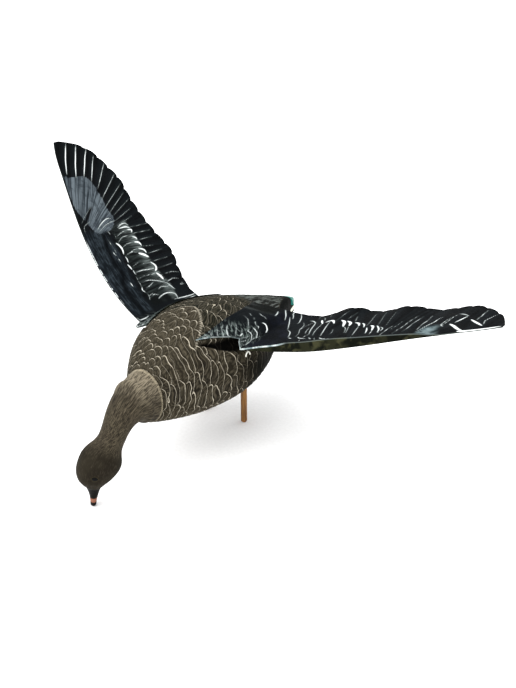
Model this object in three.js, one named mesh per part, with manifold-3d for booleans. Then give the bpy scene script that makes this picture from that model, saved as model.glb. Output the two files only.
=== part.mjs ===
// Feeding goose decoy: a moulded body on two wooden pegs, a head and neck piece reaching down to the
// ground, two printed cloth wings spread open, a short tie under the left wing and a cap on the tail's end.
// Millimetres, +Z up, the goose faces -Y and its left wing points along +X.
import * as THREE from 'three';
import { mergeVertices } from 'three/addons/utils/BufferGeometryUtils.js';
import Module from 'manifold-3d';

const wasm = await Module();
wasm.setup();

// Overall sizes
const body_length = 460; // neck seam to the start of the tail's blunt end, the measure of every share below
const belly_clearance = 72; // ground to the lowest point of the belly
const piece_gap = 0.3; // between pieces that touch

// Body outline as shares of body_length, measured along the body from the neck seam.
// Heights are measured from the lowest point of the belly.
const tail_end_station = 1.038;
const body_stations = [
  0, 0.035, 0.075, 0.14, 0.21, 0.29, 0.37, 0.45,
  0.53, 0.61, 0.69, 0.77, 0.85, 0.94, 0.985, tail_end_station,
];
const body_top = [
  0.283, 0.323, 0.354, 0.386, 0.404, 0.411, 0.408, 0.395,
  0.375, 0.35, 0.323, 0.294, 0.262, 0.227, 0.2105, 0.1905,
];
const body_bottom = [
  0.064, 0.052, 0.04, 0.023, 0.011, 0.004, 0, 0.003,
  0.012, 0.03, 0.052, 0.075, 0.097, 0.114, 0.118, 0.119,
];
const body_half_width = [
  0.085, 0.114, 0.141, 0.179, 0.207, 0.229, 0.237, 0.23,
  0.211, 0.184, 0.152, 0.119, 0.085, 0.047, 0.03, 0.0145,
];
const tail_squareness = 5; // exponent of the section at the tail's end, where 2 is an ellipse
const squarer_from = 0.76; // share of body_length where the section starts to turn square
const body_rings = 34;
const body_segments = 32;

// Head and neck, one row for each section from the seam down to the tip of the bill.
// reach is a share of neck_reach forward, height a share of the height of the seam's middle.
const neck_reach = 129;
const head_lean = 0.1264; // how far the bill's tip lies to the goose's right, share of neck_reach
const head_turn = 42; // degrees the face turns to the goose's right
const head_depth = 73; // crown to throat
const head_width = 58; // cheek to cheek
const neck_rows = [
  // reach, height, pitch, depth share, width share, turn share
  [0.0, 1.0, 0, 0, 0, 0],
  [0.17, 1.008, 8, 1.15, 1.27, 0],
  [0.333, 0.994, 22, 0.925, 1.13, 0],
  [0.465, 0.94, 38, 0.77, 0.96, 0.02],
  [0.55, 0.875, 48, 0.67, 0.86, 0.08],
  [0.605, 0.815, 52, 0.622, 0.81, 0.2],
  [0.667, 0.745, 52, 0.61, 0.79, 0.38],
  [0.736, 0.69, 51, 0.67, 0.82, 0.6],
  [0.798, 0.645, 54, 0.81, 0.9, 0.8],
  [0.853, 0.59, 61, 0.94, 0.97, 0.93],
  [0.905, 0.51, 74, 1.0, 1.0, 1],
  [0.938, 0.437, 82, 0.96, 0.96, 1],
  [0.969, 0.37, 86, 0.81, 0.85, 1],
  [0.984, 0.318, 88, 0.61, 0.68, 1],
  [0.988, 0.27, 90, 0.42, 0.5, 1],
  [0.99, 0.24, 90, 0.34, 0.42, 1],
  [0.992, 0.165, 90, 0.235, 0.34, 1],
  [1.0, 0.08, 90, 0.17, 0.29, 1],
  [1.0, 0.02, 90, 0.15, 0.24, 1],
  [0.998, 0.0, 90, 0.07, 0.12, 1],
];
const neck_rings = 40;
const neck_segments = 26;

// Pegs
const peg_diameter = 12;
const peg_foot_diameter = 9; // flat at the bottom of the peg
const peg_foot_chamfer = 2;
const peg_spacing = 89; // middle to middle
const peg_station = 0.507; // share of body_length behind the seam
const peg_socket_depth = 40; // up into the body, from the lowest point of the belly
const peg_clearance = 0.3;

// Wings: one cloth each, from a panel lying on the body out to the tip
const wing_length = 409; // along the cloth, from the side of the body to the tip
const wing_root_chord = 187;
const cloth_thickness = 2.4;
const cloth_to_body_gap = 1.2;
const wing_root_station = 0.276; // where the front edge leaves the body, share of body_length
const wing_root_height = 0.304; // share of body_length above the belly
const wing_root_out = 0.237; // share of body_length from the middle
const wing_chord_stations = [0, 0.15, 0.3, 0.45, 0.6, 0.75, 0.87, 0.95, 1];
const wing_chords = [0.991, 1.016, 1.12, 0.988, 0.889, 0.771, 0.602, 0.369, 0.087];
const wing_sweep = [-0.106, 0.821, -0.362]; // front edge's cubic, shares of wing_length
const wing_tip_setback = 0.0183; // how far the front edge curves back at the tip, share of wing_length
const left_wing_rise = [9, 21.5, -21.9]; // degrees at the root and how it changes outwards
const right_wing_rise = [35.1, 4.2, 0.8];
const left_wing_twist = [-0.3, 1.1]; // degrees at root and tip, rear edge down
const right_wing_twist = [6.1, 3.5];
const feather_tips = 15; // rounded feather ends along the rear edge
const feather_tip_depth = 5;
// Waves of the cloth along the rear edge: places from root to tip, and lifts as shares of the root chord
const wave_stations = [0, 0.07, 0.15, 0.25, 0.35, 0.43, 0.51, 0.58, 0.65, 0.72, 0.82, 0.92, 1];
const left_wing_waves = [0, -0.011, -0.016, 0.027, -0.021, -0.005, 0.029, 0.011, -0.024, -0.016, 0.013, 0, 0];
const right_wing_waves = [0, -0.016, 0.011, 0.005, -0.013, 0, -0.003, -0.008, 0, 0.019, -0.005, 0.011, 0];
// Lift of each wing's front edge, from root to tip, as shares of the root chord
const front_lift_stations = [0, 0.1, 0.2, 0.3, 0.4, 1];
const left_front_lift = [0.02, 0.025, 0.018, 0.004, 0, 0];
const right_front_lift = [0, 0, 0, 0, 0, 0];
const wing_columns = 60;
const wing_rows = 6;

// The panel's inner edge on the body, from front to rear, as shares of body_length
const panel_inner_stations = [0, 0.15, 0.41, 0.655, 1];
const panel_inner_out = [0.115, 0.126, 0.126, 0.115, 0.08];
const panel_front_station = 0.167;
const panel_rear_station = 0.608;
// The left panel's front edge steps back before the wing starts, the right one bulges forward as a collar
const panel_front_shares = [0, 0.375, 0.68, 0.8, 1];
const left_front_setback = [0, 0.045, 0.082, 0.05, 0];
const right_front_setback = [0, -0.036, -0.035, -0.028, 0];
const panel_columns = 9;

// Ties and tail cap
const tie_diameter = 2.4;
const tie_end_length = 11.5;
const tie_spread = 36; // degrees each end stands off the vertical
const tie_along = 0.033; // share of the wing's length out from the body
const tie_behind = 0.03; // share of the wing's chord behind the front edge
const tail_cap_base_length = 5.5; // forward of the tail's end, at the cap's lower face
const tail_cap_slant = 33; // degrees its front face leans forward
const tail_cap_height = 72; // its lower face, above the belly

// A smooth curve through stations and values
function smooth_table(stations, values) {
  const slopes = values.map((value, i) => {
    const before = Math.max(i - 1, 0);
    const after = Math.min(i + 1, values.length - 1);
    return (values[after] - values[before]) / (stations[after] - stations[before]);
  });
  return (at) => {
    let i = 0;
    while (i < stations.length - 2 && at > stations[i + 1]) i += 1;
    const step = stations[i + 1] - stations[i];
    const t = THREE.MathUtils.clamp((at - stations[i]) / step, 0, 1);
    const t2 = t * t;
    const t3 = t2 * t;
    return (
      (2 * t3 - 3 * t2 + 1) * values[i] +
      (t3 - 2 * t2 + t) * step * slopes[i] +
      (3 * t2 - 2 * t3) * values[i + 1] +
      (t3 - t2) * step * slopes[i + 1]
    );
  };
}

// A closed geometry from points and triangles, with its faces turned outwards
function closed_geometry(points, triangles) {
  let volume = 0;
  const cross = new THREE.Vector3();
  for (const [a, b, c] of triangles) {
    volume += points[a].dot(cross.crossVectors(points[b], points[c]));
  }
  const index = triangles.flatMap(([a, b, c]) => (volume > 0 ? [a, b, c] : [a, c, b]));
  const geometry = new THREE.BufferGeometry();
  geometry.setAttribute('position', new THREE.Float32BufferAttribute(points.flatMap((p) => p.toArray()), 3));
  geometry.setIndex(index);
  geometry.computeVertexNormals();
  return geometry;
}

// A solid skinned over rings of points, closed by a fan at each end
function skin_rings(rings) {
  const count = rings[0].length;
  const points = rings.flat();
  const triangles = [];
  for (let r = 0; r < rings.length - 1; r += 1) {
    for (let i = 0; i < count; i += 1) {
      const a = r * count + i;
      const b = r * count + ((i + 1) % count);
      triangles.push([a, b, b + count], [a, b + count, a + count]);
    }
  }
  for (const r of [0, rings.length - 1]) {
    const middle = new THREE.Vector3();
    rings[r].forEach((p) => middle.addScaledVector(p, 1 / count));
    const hub = points.push(middle) - 1;
    for (let i = 0; i < count; i += 1) {
      const a = r * count + i;
      const b = r * count + ((i + 1) % count);
      triangles.push(r === 0 ? [hub, b, a] : [hub, a, b]);
    }
  }
  return closed_geometry(points, triangles);
}

// A plate of even thickness about a grid of points, rows[i][j]
function thicken_grid(grid, thickness) {
  const columns = grid.length;
  const rows = grid[0].length;
  const normal_at = (i, j) => {
    const along = grid[Math.min(i + 1, columns - 1)][j].clone().sub(grid[Math.max(i - 1, 0)][j]);
    const across = grid[i][Math.min(j + 1, rows - 1)].clone().sub(grid[i][Math.max(j - 1, 0)]);
    return along.cross(across).normalize();
  };
  const points = [];
  for (const side of [0.5, -0.5]) {
    for (let i = 0; i < columns; i += 1) {
      for (let j = 0; j < rows; j += 1) {
        points.push(grid[i][j].clone().addScaledVector(normal_at(i, j), side * thickness));
      }
    }
  }
  const upper = (i, j) => i * rows + j;
  const lower = (i, j) => columns * rows + i * rows + j;
  const triangles = [];
  for (let i = 0; i < columns - 1; i += 1) {
    for (let j = 0; j < rows - 1; j += 1) {
      triangles.push([upper(i, j), upper(i + 1, j), upper(i + 1, j + 1)]);
      triangles.push([upper(i, j), upper(i + 1, j + 1), upper(i, j + 1)]);
      triangles.push([lower(i, j), lower(i + 1, j + 1), lower(i + 1, j)]);
      triangles.push([lower(i, j), lower(i, j + 1), lower(i + 1, j + 1)]);
    }
  }
  const rim = [];
  for (let i = 0; i < columns - 1; i += 1) rim.push([i, 0]);
  for (let j = 0; j < rows - 1; j += 1) rim.push([columns - 1, j]);
  for (let i = columns - 1; i > 0; i -= 1) rim.push([i, rows - 1]);
  for (let j = rows - 1; j > 0; j -= 1) rim.push([0, j]);
  rim.forEach(([i, j], k) => {
    const [m, n] = rim[(k + 1) % rim.length];
    triangles.push([upper(i, j), lower(i, j), lower(m, n)]);
    triangles.push([upper(i, j), lower(m, n), upper(m, n)]);
  });
  return closed_geometry(points, triangles);
}

function to_solid(geometry) {
  const bare = geometry.clone();
  bare.deleteAttribute('normal');
  bare.deleteAttribute('uv');
  const merged = mergeVertices(bare, 1e-4);
  return new wasm.Manifold(
    new wasm.Mesh({
      numProp: 3,
      vertProperties: new Float32Array(merged.attributes.position.array),
      triVerts: new Uint32Array(merged.index.array),
    }),
  );
}

function to_geometry(solid) {
  const mesh = solid.getMesh();
  const geometry = new THREE.BufferGeometry();
  geometry.setAttribute('position', new THREE.Float32BufferAttribute(mesh.vertProperties, 3));
  geometry.setIndex(Array.from(mesh.triVerts));
  geometry.computeVertexNormals();
  return geometry;
}

// Body section at a distance y behind the neck seam
const top_share = smooth_table(body_stations, body_top);
const bottom_share = smooth_table(body_stations, body_bottom);
const width_share = smooth_table(body_stations, body_half_width);

function body_section(y) {
  const share = y / body_length;
  const top = top_share(share) * body_length;
  const bottom = bottom_share(share) * body_length;
  return {
    middle: belly_clearance + (top + bottom) / 2,
    half_height: (top - bottom) / 2,
    half_width: width_share(share) * body_length,
  };
}

// Height of the body's upper surface grown by a margin, at x and y
function body_height(x, y, margin) {
  const { middle, half_height, half_width } = body_section(y);
  const share = Math.min(Math.abs(x) / (half_width + margin), 1);
  return middle + (half_height + margin) * Math.sqrt(1 - share * share);
}

function body_geometry() {
  const rings = [];
  for (let r = 0; r <= body_rings; r += 1) {
    const share = (tail_end_station * r) / body_rings;
    const y = body_length * share;
    const { middle, half_height, half_width } = body_section(y);
    const squarer = THREE.MathUtils.smoothstep(share, squarer_from, tail_end_station);
    const power = 2 / THREE.MathUtils.lerp(2, tail_squareness, squarer);
    const bulge = (value) => Math.sign(value) * Math.abs(value) ** power;
    const ring = [];
    for (let i = 0; i < body_segments; i += 1) {
      const angle = (2 * Math.PI * i) / body_segments;
      const x = half_width * bulge(Math.cos(angle));
      ring.push(new THREE.Vector3(x, y, middle + half_height * bulge(Math.sin(angle))));
    }
    rings.push(ring);
  }
  return skin_rings(rings);
}

// A peg or its socket: a round bar with a small chamfer at the bottom, standing on the ground
function peg_geometry(diameter, foot_diameter, bottom, top) {
  const profile = [
    new THREE.Vector2(0, 0),
    new THREE.Vector2(foot_diameter / 2, 0),
    new THREE.Vector2(diameter / 2, foot_diameter < diameter ? peg_foot_chamfer : 0.001),
    new THREE.Vector2(diameter / 2, top - bottom),
    new THREE.Vector2(0, top - bottom),
  ];
  const geometry = new THREE.LatheGeometry(profile, 24);
  geometry.rotateX(Math.PI / 2);
  geometry.translate(0, 0, bottom);
  return geometry;
}

const peg_y = peg_station * body_length;
const peg_top = belly_clearance + peg_socket_depth;

const body_form = to_solid(body_geometry());

// The block that parts the tail cap from the body: everything behind and above its corner
function cap_block(gap) {
  const behind = body_length * tail_end_station - tail_cap_base_length + gap;
  const above = belly_clearance + tail_cap_height + gap;
  const lean = Math.tan(THREE.MathUtils.degToRad(tail_cap_slant));
  const block = new THREE.BoxGeometry(body_length, body_length, body_length);
  block.translate(0, body_length / 2, body_length / 2);
  block.applyMatrix4(new THREE.Matrix4().set(1, 0, 0, 0, 0, 1, -lean, behind, 0, 0, 1, above, 0, 0, 0, 1));
  return to_solid(block);
}

function drilled_body() {
  let solid = body_form.subtract(cap_block(0));
  for (const side of [1, -1]) {
    const bore = peg_geometry(
      peg_diameter + 2 * peg_clearance,
      peg_diameter + 2 * peg_clearance,
      belly_clearance - peg_socket_depth,
      peg_top + piece_gap,
    );
    bore.translate((side * peg_spacing) / 2, peg_y, 0);
    solid = solid.subtract(to_solid(bore));
  }
  return to_geometry(solid);
}

function tail_cap_geometry() {
  return to_geometry(body_form.intersect(cap_block(piece_gap)));
}

// Head and neck: oval sections whose planes pitch from upright at the seam to level at the bill
function neck_geometry() {
  const seam = body_section(0);
  const stations = neck_rows.map((row, i) => i);
  const column = (k) => smooth_table(stations, neck_rows.map((row) => row[k]));
  const [reach, height, pitch, depth, width, turn] = [0, 1, 2, 3, 4, 5].map(column);
  const depth_at_seam = (2 * seam.half_height) / head_depth;
  const width_at_seam = (2 * seam.half_width) / head_width;
  const rings = [];
  for (let r = 0; r <= neck_rings; r += 1) {
    const at = ((neck_rows.length - 1) * r) / neck_rings;
    const to_seam = Math.max(1 - at, 0);
    const depth_here = THREE.MathUtils.lerp(depth(Math.max(at, 1)), depth_at_seam, to_seam);
    const width_here = THREE.MathUtils.lerp(width(Math.max(at, 1)), width_at_seam, to_seam);
    const tilt = THREE.MathUtils.degToRad(pitch(at));
    const yaw = THREE.MathUtils.degToRad(turn(at) * head_turn);
    const lean = at / (neck_rows.length - 1);
    const centre = new THREE.Vector3(
      -head_lean * neck_reach * lean * lean * (2 - lean),
      -piece_gap - reach(at) * neck_reach,
      height(at) * seam.middle,
    );
    const crown = new THREE.Vector3(
      -Math.sin(yaw),
      -Math.sin(tilt) * Math.cos(yaw),
      Math.cos(tilt) * Math.cos(yaw),
    );
    const cheek = new THREE.Vector3(
      Math.cos(yaw),
      -Math.sin(tilt) * Math.sin(yaw),
      Math.cos(tilt) * Math.sin(yaw),
    );
    const ring = [];
    for (let i = 0; i < neck_segments; i += 1) {
      const angle = (2 * Math.PI * i) / neck_segments;
      ring.push(
        centre
          .clone()
          .addScaledVector(cheek, (width_here / 2) * head_width * Math.cos(angle))
          .addScaledVector(crown, (depth_here / 2) * head_depth * Math.sin(angle)),
      );
    }
    rings.push(ring);
  }
  return skin_rings(rings);
}

// Wing beyond the body: along runs 0 to 1 from root to tip, back runs 0 to 1 from front to rear edge
const chord_share = smooth_table(wing_chord_stations, wing_chords);
const root_out = wing_root_out * body_length;
const root_front = wing_root_station * body_length;
const root_height = belly_clearance + wing_root_height * body_length;

function outer_wing_path(rise) {
  const steps = wing_columns * 4;
  const path = [{ x: root_out, z: root_height, angle: THREE.MathUtils.degToRad(rise[0]) }];
  for (let k = 1; k <= steps; k += 1) {
    const along = (k - 0.5) / steps;
    const angle = THREE.MathUtils.degToRad(rise[0] + rise[1] * along + rise[2] * along * along);
    const last = path[k - 1];
    path.push({
      x: last.x + (Math.cos(angle) * wing_length) / steps,
      z: last.z + (Math.sin(angle) * wing_length) / steps,
      angle,
    });
  }
  return path;
}

function open_wing(side, rise, twist, waves, lifts, setbacks) {
  return {
    side,
    rise,
    twist,
    path: outer_wing_path(rise),
    wave: smooth_table(wave_stations, waves),
    lift: smooth_table(front_lift_stations, lifts),
    setback: smooth_table(panel_front_shares, setbacks),
  };
}

// How far a feather's end is rounded off, 0 at its middle and 1 between two feathers
function feather_notch(along) {
  const place = (along * feather_tips) % 1;
  const off_centre = Math.abs(2 * place - 1);
  return off_centre ** 3;
}

function outer_wing_point(wing, along, back) {
  const { x, z, angle } = wing.path[Math.round(along * (wing.path.length - 1))];
  const [a, b, c] = wing_sweep;
  const near_tip = Math.max(0, (along - 0.88) / 0.12);
  const sweep = wing_length * (along * (a + along * (b + along * c)) + wing_tip_setback * near_tip ** 2);
  const notch = feather_tip_depth * (feather_notch(along) - 0.25) * Math.min(1, along * 6);
  const chord = (chord_share(along) * wing_root_chord - notch) * back;
  const drop = THREE.MathUtils.degToRad(THREE.MathUtils.lerp(wing.twist[0], wing.twist[1], along));
  const wave = wing_root_chord * (wing.wave(along) * back ** 2 + wing.lift(along) * (1 - back) ** 2);
  return new THREE.Vector3(
    x - wave * Math.sin(angle),
    root_front + sweep + chord * Math.cos(drop),
    z - chord * Math.sin(drop) + wave * Math.cos(angle),
  );
}

// Panel on the body: along runs 0 to 1 from its inner edge to the side of the body
const inner_out = smooth_table(panel_inner_stations, panel_inner_out);

function panel_point(wing, along, back) {
  const margin = cloth_to_body_gap + cloth_thickness / 2;
  const inner_x = inner_out(back) * body_length;
  const drop = THREE.MathUtils.degToRad(wing.twist[0]);
  const root_chord = chord_share(0) * wing_root_chord;
  const inner_front = panel_front_station * body_length;
  const inner_rear = panel_rear_station * body_length;
  const front = THREE.MathUtils.lerp(inner_front, root_front, along) + wing.setback(along) * body_length;
  const rear = THREE.MathUtils.lerp(inner_rear, root_front + root_chord * Math.cos(drop), along);
  const x = THREE.MathUtils.lerp(inner_x, root_out, along);
  const y = THREE.MathUtils.lerp(front, rear, back);
  const inner_y = THREE.MathUtils.lerp(inner_front, inner_rear, back);
  const inner_z = body_height(inner_x, inner_y, margin);
  const lift = wing_root_chord * wing.lift(0) * (1 - back) ** 2;
  const outer_z = root_height - back * root_chord * Math.sin(drop) + lift;
  const straight = THREE.MathUtils.lerp(inner_z, outer_z, along);
  return new THREE.Vector3(x, y, Math.max(straight, body_height(x, y, margin)));
}

function wing_geometry(wing) {
  const grid = [];
  for (let i = -panel_columns; i <= wing_columns; i += 1) {
    const column = [];
    for (let j = 0; j <= wing_rows; j += 1) {
      const back = j / wing_rows;
      const point =
        i < 0
          ? panel_point(wing, 1 + i / panel_columns, back)
          : outer_wing_point(wing, i / wing_columns, back);
      point.x *= wing.side;
      column.push(point);
    }
    grid.push(column);
  }
  return thicken_grid(grid, cloth_thickness);
}

// A tie: a knot just under the cloth at the side of the body, with two short cord ends
function tie_geometry(wing) {
  const knot_radius = tie_diameter * 0.85;
  let solid = to_solid(new THREE.SphereGeometry(knot_radius, 12, 8));
  for (const lean of [1, -1]) {
    const end = new THREE.CylinderGeometry(tie_diameter / 2, tie_diameter / 2, tie_end_length, 10);
    end.rotateX(Math.PI / 2);
    end.translate(0, 0, -tie_end_length / 2);
    end.rotateX(THREE.MathUtils.degToRad(lean * tie_spread));
    solid = solid.add(to_solid(end));
  }
  const geometry = to_geometry(solid);
  const slope = THREE.MathUtils.degToRad(wing.rise[0] + 10);
  const below = (cloth_thickness / 2 + knot_radius) / Math.cos(slope) + piece_gap;
  const { x, y, z } = outer_wing_point(wing, tie_along, tie_behind);
  geometry.translate(wing.side * x, y, z - below);
  return geometry;
}

function material(color, roughness) {
  return new THREE.MeshStandardMaterial({ color, roughness, metalness: 0 });
}

const body_paint = material('#4a453b', 0.7);
const neck_paint = material('#453d33', 0.75);
const wood = material('#8a5a20', 0.6);
const cloth = material('#20242b', 0.85);
const cord = material('#e6e4dc', 0.8);
const teal = material('#20a08a', 0.5);

const decoy = new THREE.Group();

function add_piece(name, geometry, piece_material) {
  const mesh = new THREE.Mesh(geometry, piece_material);
  mesh.name = name;
  decoy.add(mesh);
  return mesh;
}

add_piece('body', drilled_body(), body_paint);
add_piece('head_and_neck', neck_geometry(), neck_paint);
const wings = {
  left: open_wing(1, left_wing_rise, left_wing_twist, left_wing_waves, left_front_lift, left_front_setback),
  right: open_wing(
    -1,
    right_wing_rise,
    right_wing_twist,
    right_wing_waves,
    right_front_lift,
    right_front_setback,
  ),
};
for (const [name, wing] of Object.entries(wings)) {
  const peg = add_piece(`peg_${name}`, peg_geometry(peg_diameter, peg_foot_diameter, 0, peg_top), wood);
  peg.position.set((wing.side * peg_spacing) / 2, peg_y, 0);
  add_piece(`wing_${name}`, wing_geometry(wing), cloth);
}
add_piece('wing_tie_left', tie_geometry(wings.left), cord);
add_piece('tail_cap', tail_cap_geometry(), teal);

// The origin is on the ground below the middle of the whole decoy
const bounds = new THREE.Box3().setFromObject(decoy);
const middle = bounds.getCenter(new THREE.Vector3());
decoy.position.set(-middle.x, -middle.y, -bounds.min.z);

export default decoy;
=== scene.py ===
"""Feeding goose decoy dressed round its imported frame: painted body and neck with feather relief,
printed cloth wings, wooden pegs, a cord tie and a teal tail cap.

Shapes are worked out in millimetres in the decoy's own place: neck seam at y = 0, tail along +y,
left wing along +x and the ground at z = 0. to_frame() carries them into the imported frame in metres.
"""
import math
from functools import partial
from types import SimpleNamespace

import bpy
import numpy as np
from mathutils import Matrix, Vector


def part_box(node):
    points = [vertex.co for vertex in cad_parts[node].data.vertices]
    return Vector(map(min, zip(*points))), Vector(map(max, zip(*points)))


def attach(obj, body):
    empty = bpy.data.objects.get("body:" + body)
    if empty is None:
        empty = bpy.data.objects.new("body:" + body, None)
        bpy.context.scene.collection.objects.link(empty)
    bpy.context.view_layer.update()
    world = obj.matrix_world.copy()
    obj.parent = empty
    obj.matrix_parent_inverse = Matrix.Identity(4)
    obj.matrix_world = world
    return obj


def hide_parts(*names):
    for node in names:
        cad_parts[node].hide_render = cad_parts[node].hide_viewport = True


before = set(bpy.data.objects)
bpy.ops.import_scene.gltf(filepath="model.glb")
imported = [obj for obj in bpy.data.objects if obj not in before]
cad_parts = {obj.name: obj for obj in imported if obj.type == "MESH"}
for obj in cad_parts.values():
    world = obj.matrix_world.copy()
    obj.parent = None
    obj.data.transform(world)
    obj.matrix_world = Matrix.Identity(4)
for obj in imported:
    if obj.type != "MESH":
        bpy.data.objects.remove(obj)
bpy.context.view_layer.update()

# The body's CAD box says where the decoy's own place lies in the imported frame
body_low, body_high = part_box("body")
DECOY_ORIGIN = np.array([500 * (body_low.x + body_high.x), 1000 * body_low.y, 0.0])


def to_frame(points):
    """Decoy millimetres to frame metres: add the origin, divide by a thousand."""
    return (np.asarray(points) + DECOY_ORIGIN) / 1000


# Surfaces

# A distance to an eye or a drawn line is counted up to this
FAR = 9.0


def smooth_table(stations, values):
    """Cubic through the values, with each slope taken from the neighbours on both sides."""
    s = np.array(stations, float)
    v = np.array(values, float)
    i = np.arange(len(s))
    after = np.minimum(i + 1, len(s) - 1)
    before = np.maximum(i - 1, 0)
    slope = (v[after] - v[before]) / (s[after] - s[before])

    def value_at(at):
        """Value of the cubic at these places, level beyond both ends."""
        at = np.asarray(at, float)
        k = np.clip(np.searchsorted(s, at) - 1, 0, len(s) - 2)
        step = s[k + 1] - s[k]
        t = np.clip((at - s[k]) / step, 0, 1)
        rise = t * t * (3 - 2 * t)
        bend = t * (1 - t) ** 2 * slope[k] - t * t * (1 - t) * slope[k + 1]
        return v[k] + (v[k + 1] - v[k]) * rise + step * bend

    return value_at


def fade(low, high, value):
    """0 below low, 1 above high, and an S curve between."""
    t = np.clip((np.asarray(value, float) - low) / (high - low), 0, 1)
    return t * t * (3 - 2 * t)


def ripple(points, size, seed, waves=7):
    """Soft unevenness, mostly from -1 to 1: a sum of plane waves about size mm long, each with a
    seeded direction, length and start."""
    rng = np.random.default_rng(seed)
    total = 0
    for _ in range(waves):
        direction = rng.normal(size=3)
        direction *= 2 * math.pi / (size * rng.uniform(0.7, 1.4) * np.linalg.norm(direction))
        total = total + np.sin(points @ direction + rng.uniform(0, 2 * math.pi))
    return total / math.sqrt(waves) * 0.7


def unit(vectors):
    """Each vector divided by its length."""
    return vectors / np.maximum(np.linalg.norm(vectors, axis=-1, keepdims=True), 1e-9)


def grid_normals(points):
    """Cross product of the steps along both directions of the grid."""
    return unit(np.cross(np.gradient(points, axis=0), np.gradient(points, axis=1)))


def grid_faces(rows, columns, wrap):
    """Corner numbers of the four-sided faces of a grid, whose columns may close into a ring."""
    last = columns if wrap else columns - 1
    r, c = np.meshgrid(np.arange(rows - 1), np.arange(last), indexing="ij")
    d = (c + 1) % columns
    corners = (r * columns + c, r * columns + d, (r + 1) * columns + d, (r + 1) * columns + c)
    return np.stack(corners, -1).reshape(-1, 4)


def signed_volume(points, faces):
    """Sum over fan triangles of corner dot corner cross corner; positive when the faces look out."""
    total = 0
    for a, b, c in ((0, 1, 2), (0, 2, 3)) if faces.shape[1] == 4 else ((0, 1, 2),):
        p, q, r = points[faces[:, a]], points[faces[:, b]], points[faces[:, c]]
        total += (p * np.cross(q, r)).sum()
    return total


def place_in_scene(name, data):
    """An object for the data, linked into the scene."""
    item = bpy.data.objects.new(name, data)
    bpy.context.collection.objects.link(item)
    return item


def add_mesh(name, points, face_groups, fields):
    """Put points, faces and each point's values into a smooth shaded mesh, with its faces outwards."""
    points = to_frame(points)
    if sum(signed_volume(points - points.mean(0), group) for group in face_groups) < 0:
        face_groups = [group[:, ::-1] for group in face_groups]
    mesh = bpy.data.meshes.new(name)
    mesh.from_pydata(points, [], [face for group in face_groups for face in group.tolist()])
    mesh.polygons.foreach_set("use_smooth", np.ones(len(mesh.polygons), bool))
    for field, values in fields.items():
        attribute = mesh.attributes.new(field, "FLOAT_VECTOR", "POINT")
        attribute.data.foreach_set("vector", np.ascontiguousarray(values, np.float32).ravel())
    return place_in_scene(name, mesh)


def carried(table, values):
    """The named values put together by threes, as the table says, for a mesh to carry at its points.
    A value that isn't given is 0 all over."""
    shape = np.broadcast_shapes(*(np.shape(value) for value in values.values()))
    fields = {field: np.zeros(shape + (3,)) for field in table}
    for field, names in table.items():
        for place, name in enumerate(names):
            fields[field][..., place] = values.get(name, 0)
    return fields


def with_hubs(values):
    """Values on rings, followed by the means of the first and of the last ring."""
    return np.concatenate([values.reshape(-1, 3), values[0].mean(0)[None], values[-1].mean(0)[None]])


def tube_shell(rings, first=0):
    """Points and faces of rings joined in order, each end closed by a fan round its middle."""
    rows, columns = rings.shape[:2]
    at = np.arange(columns)
    after = (at + 1) % columns
    hub = rows * columns
    last = (rows - 1) * columns
    front = np.stack([np.full(columns, hub), after, at], -1)
    rear = np.stack([np.full(columns, hub + 1), last + at, last + after], -1)
    groups = [grid_faces(rows, columns, True) + first, front + first, rear + first]
    return with_hubs(rings), groups


def tube_mesh(name, rings, fields):
    """A closed tube through the rings, with its fields' values at every point."""
    points, faces = tube_shell(rings)
    return add_mesh(name, points, faces, {field: with_hubs(v) for field, v in fields.items()})


def sheet_mesh(name, middle, thickness, side, fields):
    """A closed sheet: the grid moved half its thickness to each side along its normals, and a rim.
    side is -1 where the grid is mirrored, so that the first face is the upper one all the same."""
    rows, columns = middle.shape[:2]
    offset = grid_normals(middle) * (side * thickness / 2)[..., None]
    points = np.concatenate([(middle + offset).reshape(-1, 3), (middle - offset).reshape(-1, 3)])
    upper = grid_faces(rows, columns, False)
    count = rows * columns
    number = np.arange(count).reshape(rows, columns)
    rim = np.concatenate([number[:-1, 0], number[-1, :-1], number[:0:-1, -1], number[0, :0:-1]])
    after = np.roll(rim, -1)
    edge = np.stack([rim, after, after + count, rim + count], -1)
    lower = upper[:, ::-1] + count
    both = {field: np.concatenate([v.reshape(-1, 3)] * 2) for field, v in fields.items()}
    both |= carried(SIDE_FIELD, {"under": np.repeat([0.0, 1.0], count)})
    return add_mesh(name, points, [upper, lower, edge], both)


# Body

# Lengths are in mm. The profile's stations from the neck seam to the tail's end, the heights of its
# top and bottom above the belly, and its half width are shares of the body's length
BODY_LENGTH = 460.0
BELLY_CLEARANCE = 72.0
PIECE_GAP = 0.3
TAIL_END_STATION = 1.038
BODY_STATIONS = [
    0, 0.035, 0.075, 0.14, 0.21, 0.29, 0.37, 0.45,
    0.53, 0.61, 0.69, 0.77, 0.85, 0.94, 0.985, TAIL_END_STATION,
]
BODY_TOP = [
    0.283, 0.323, 0.354, 0.386, 0.404, 0.411, 0.408, 0.395,
    0.375, 0.35, 0.323, 0.294, 0.262, 0.227, 0.2105, 0.1905,
]
BODY_BOTTOM = [
    0.064, 0.052, 0.04, 0.023, 0.011, 0.004, 0, 0.003,
    0.012, 0.03, 0.052, 0.075, 0.097, 0.114, 0.118, 0.119,
]
BODY_HALF_WIDTH = [
    0.085, 0.114, 0.141, 0.179, 0.207, 0.229, 0.237, 0.23,
    0.211, 0.184, 0.152, 0.119, 0.085, 0.047, 0.03, 0.0145,
]
TAIL_SQUARENESS = 5
SQUARER_FROM = 0.76
top_share = smooth_table(BODY_STATIONS, BODY_TOP)
bottom_share = smooth_table(BODY_STATIONS, BODY_BOTTOM)
width_share = smooth_table(BODY_STATIONS, BODY_HALF_WIDTH)
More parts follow.
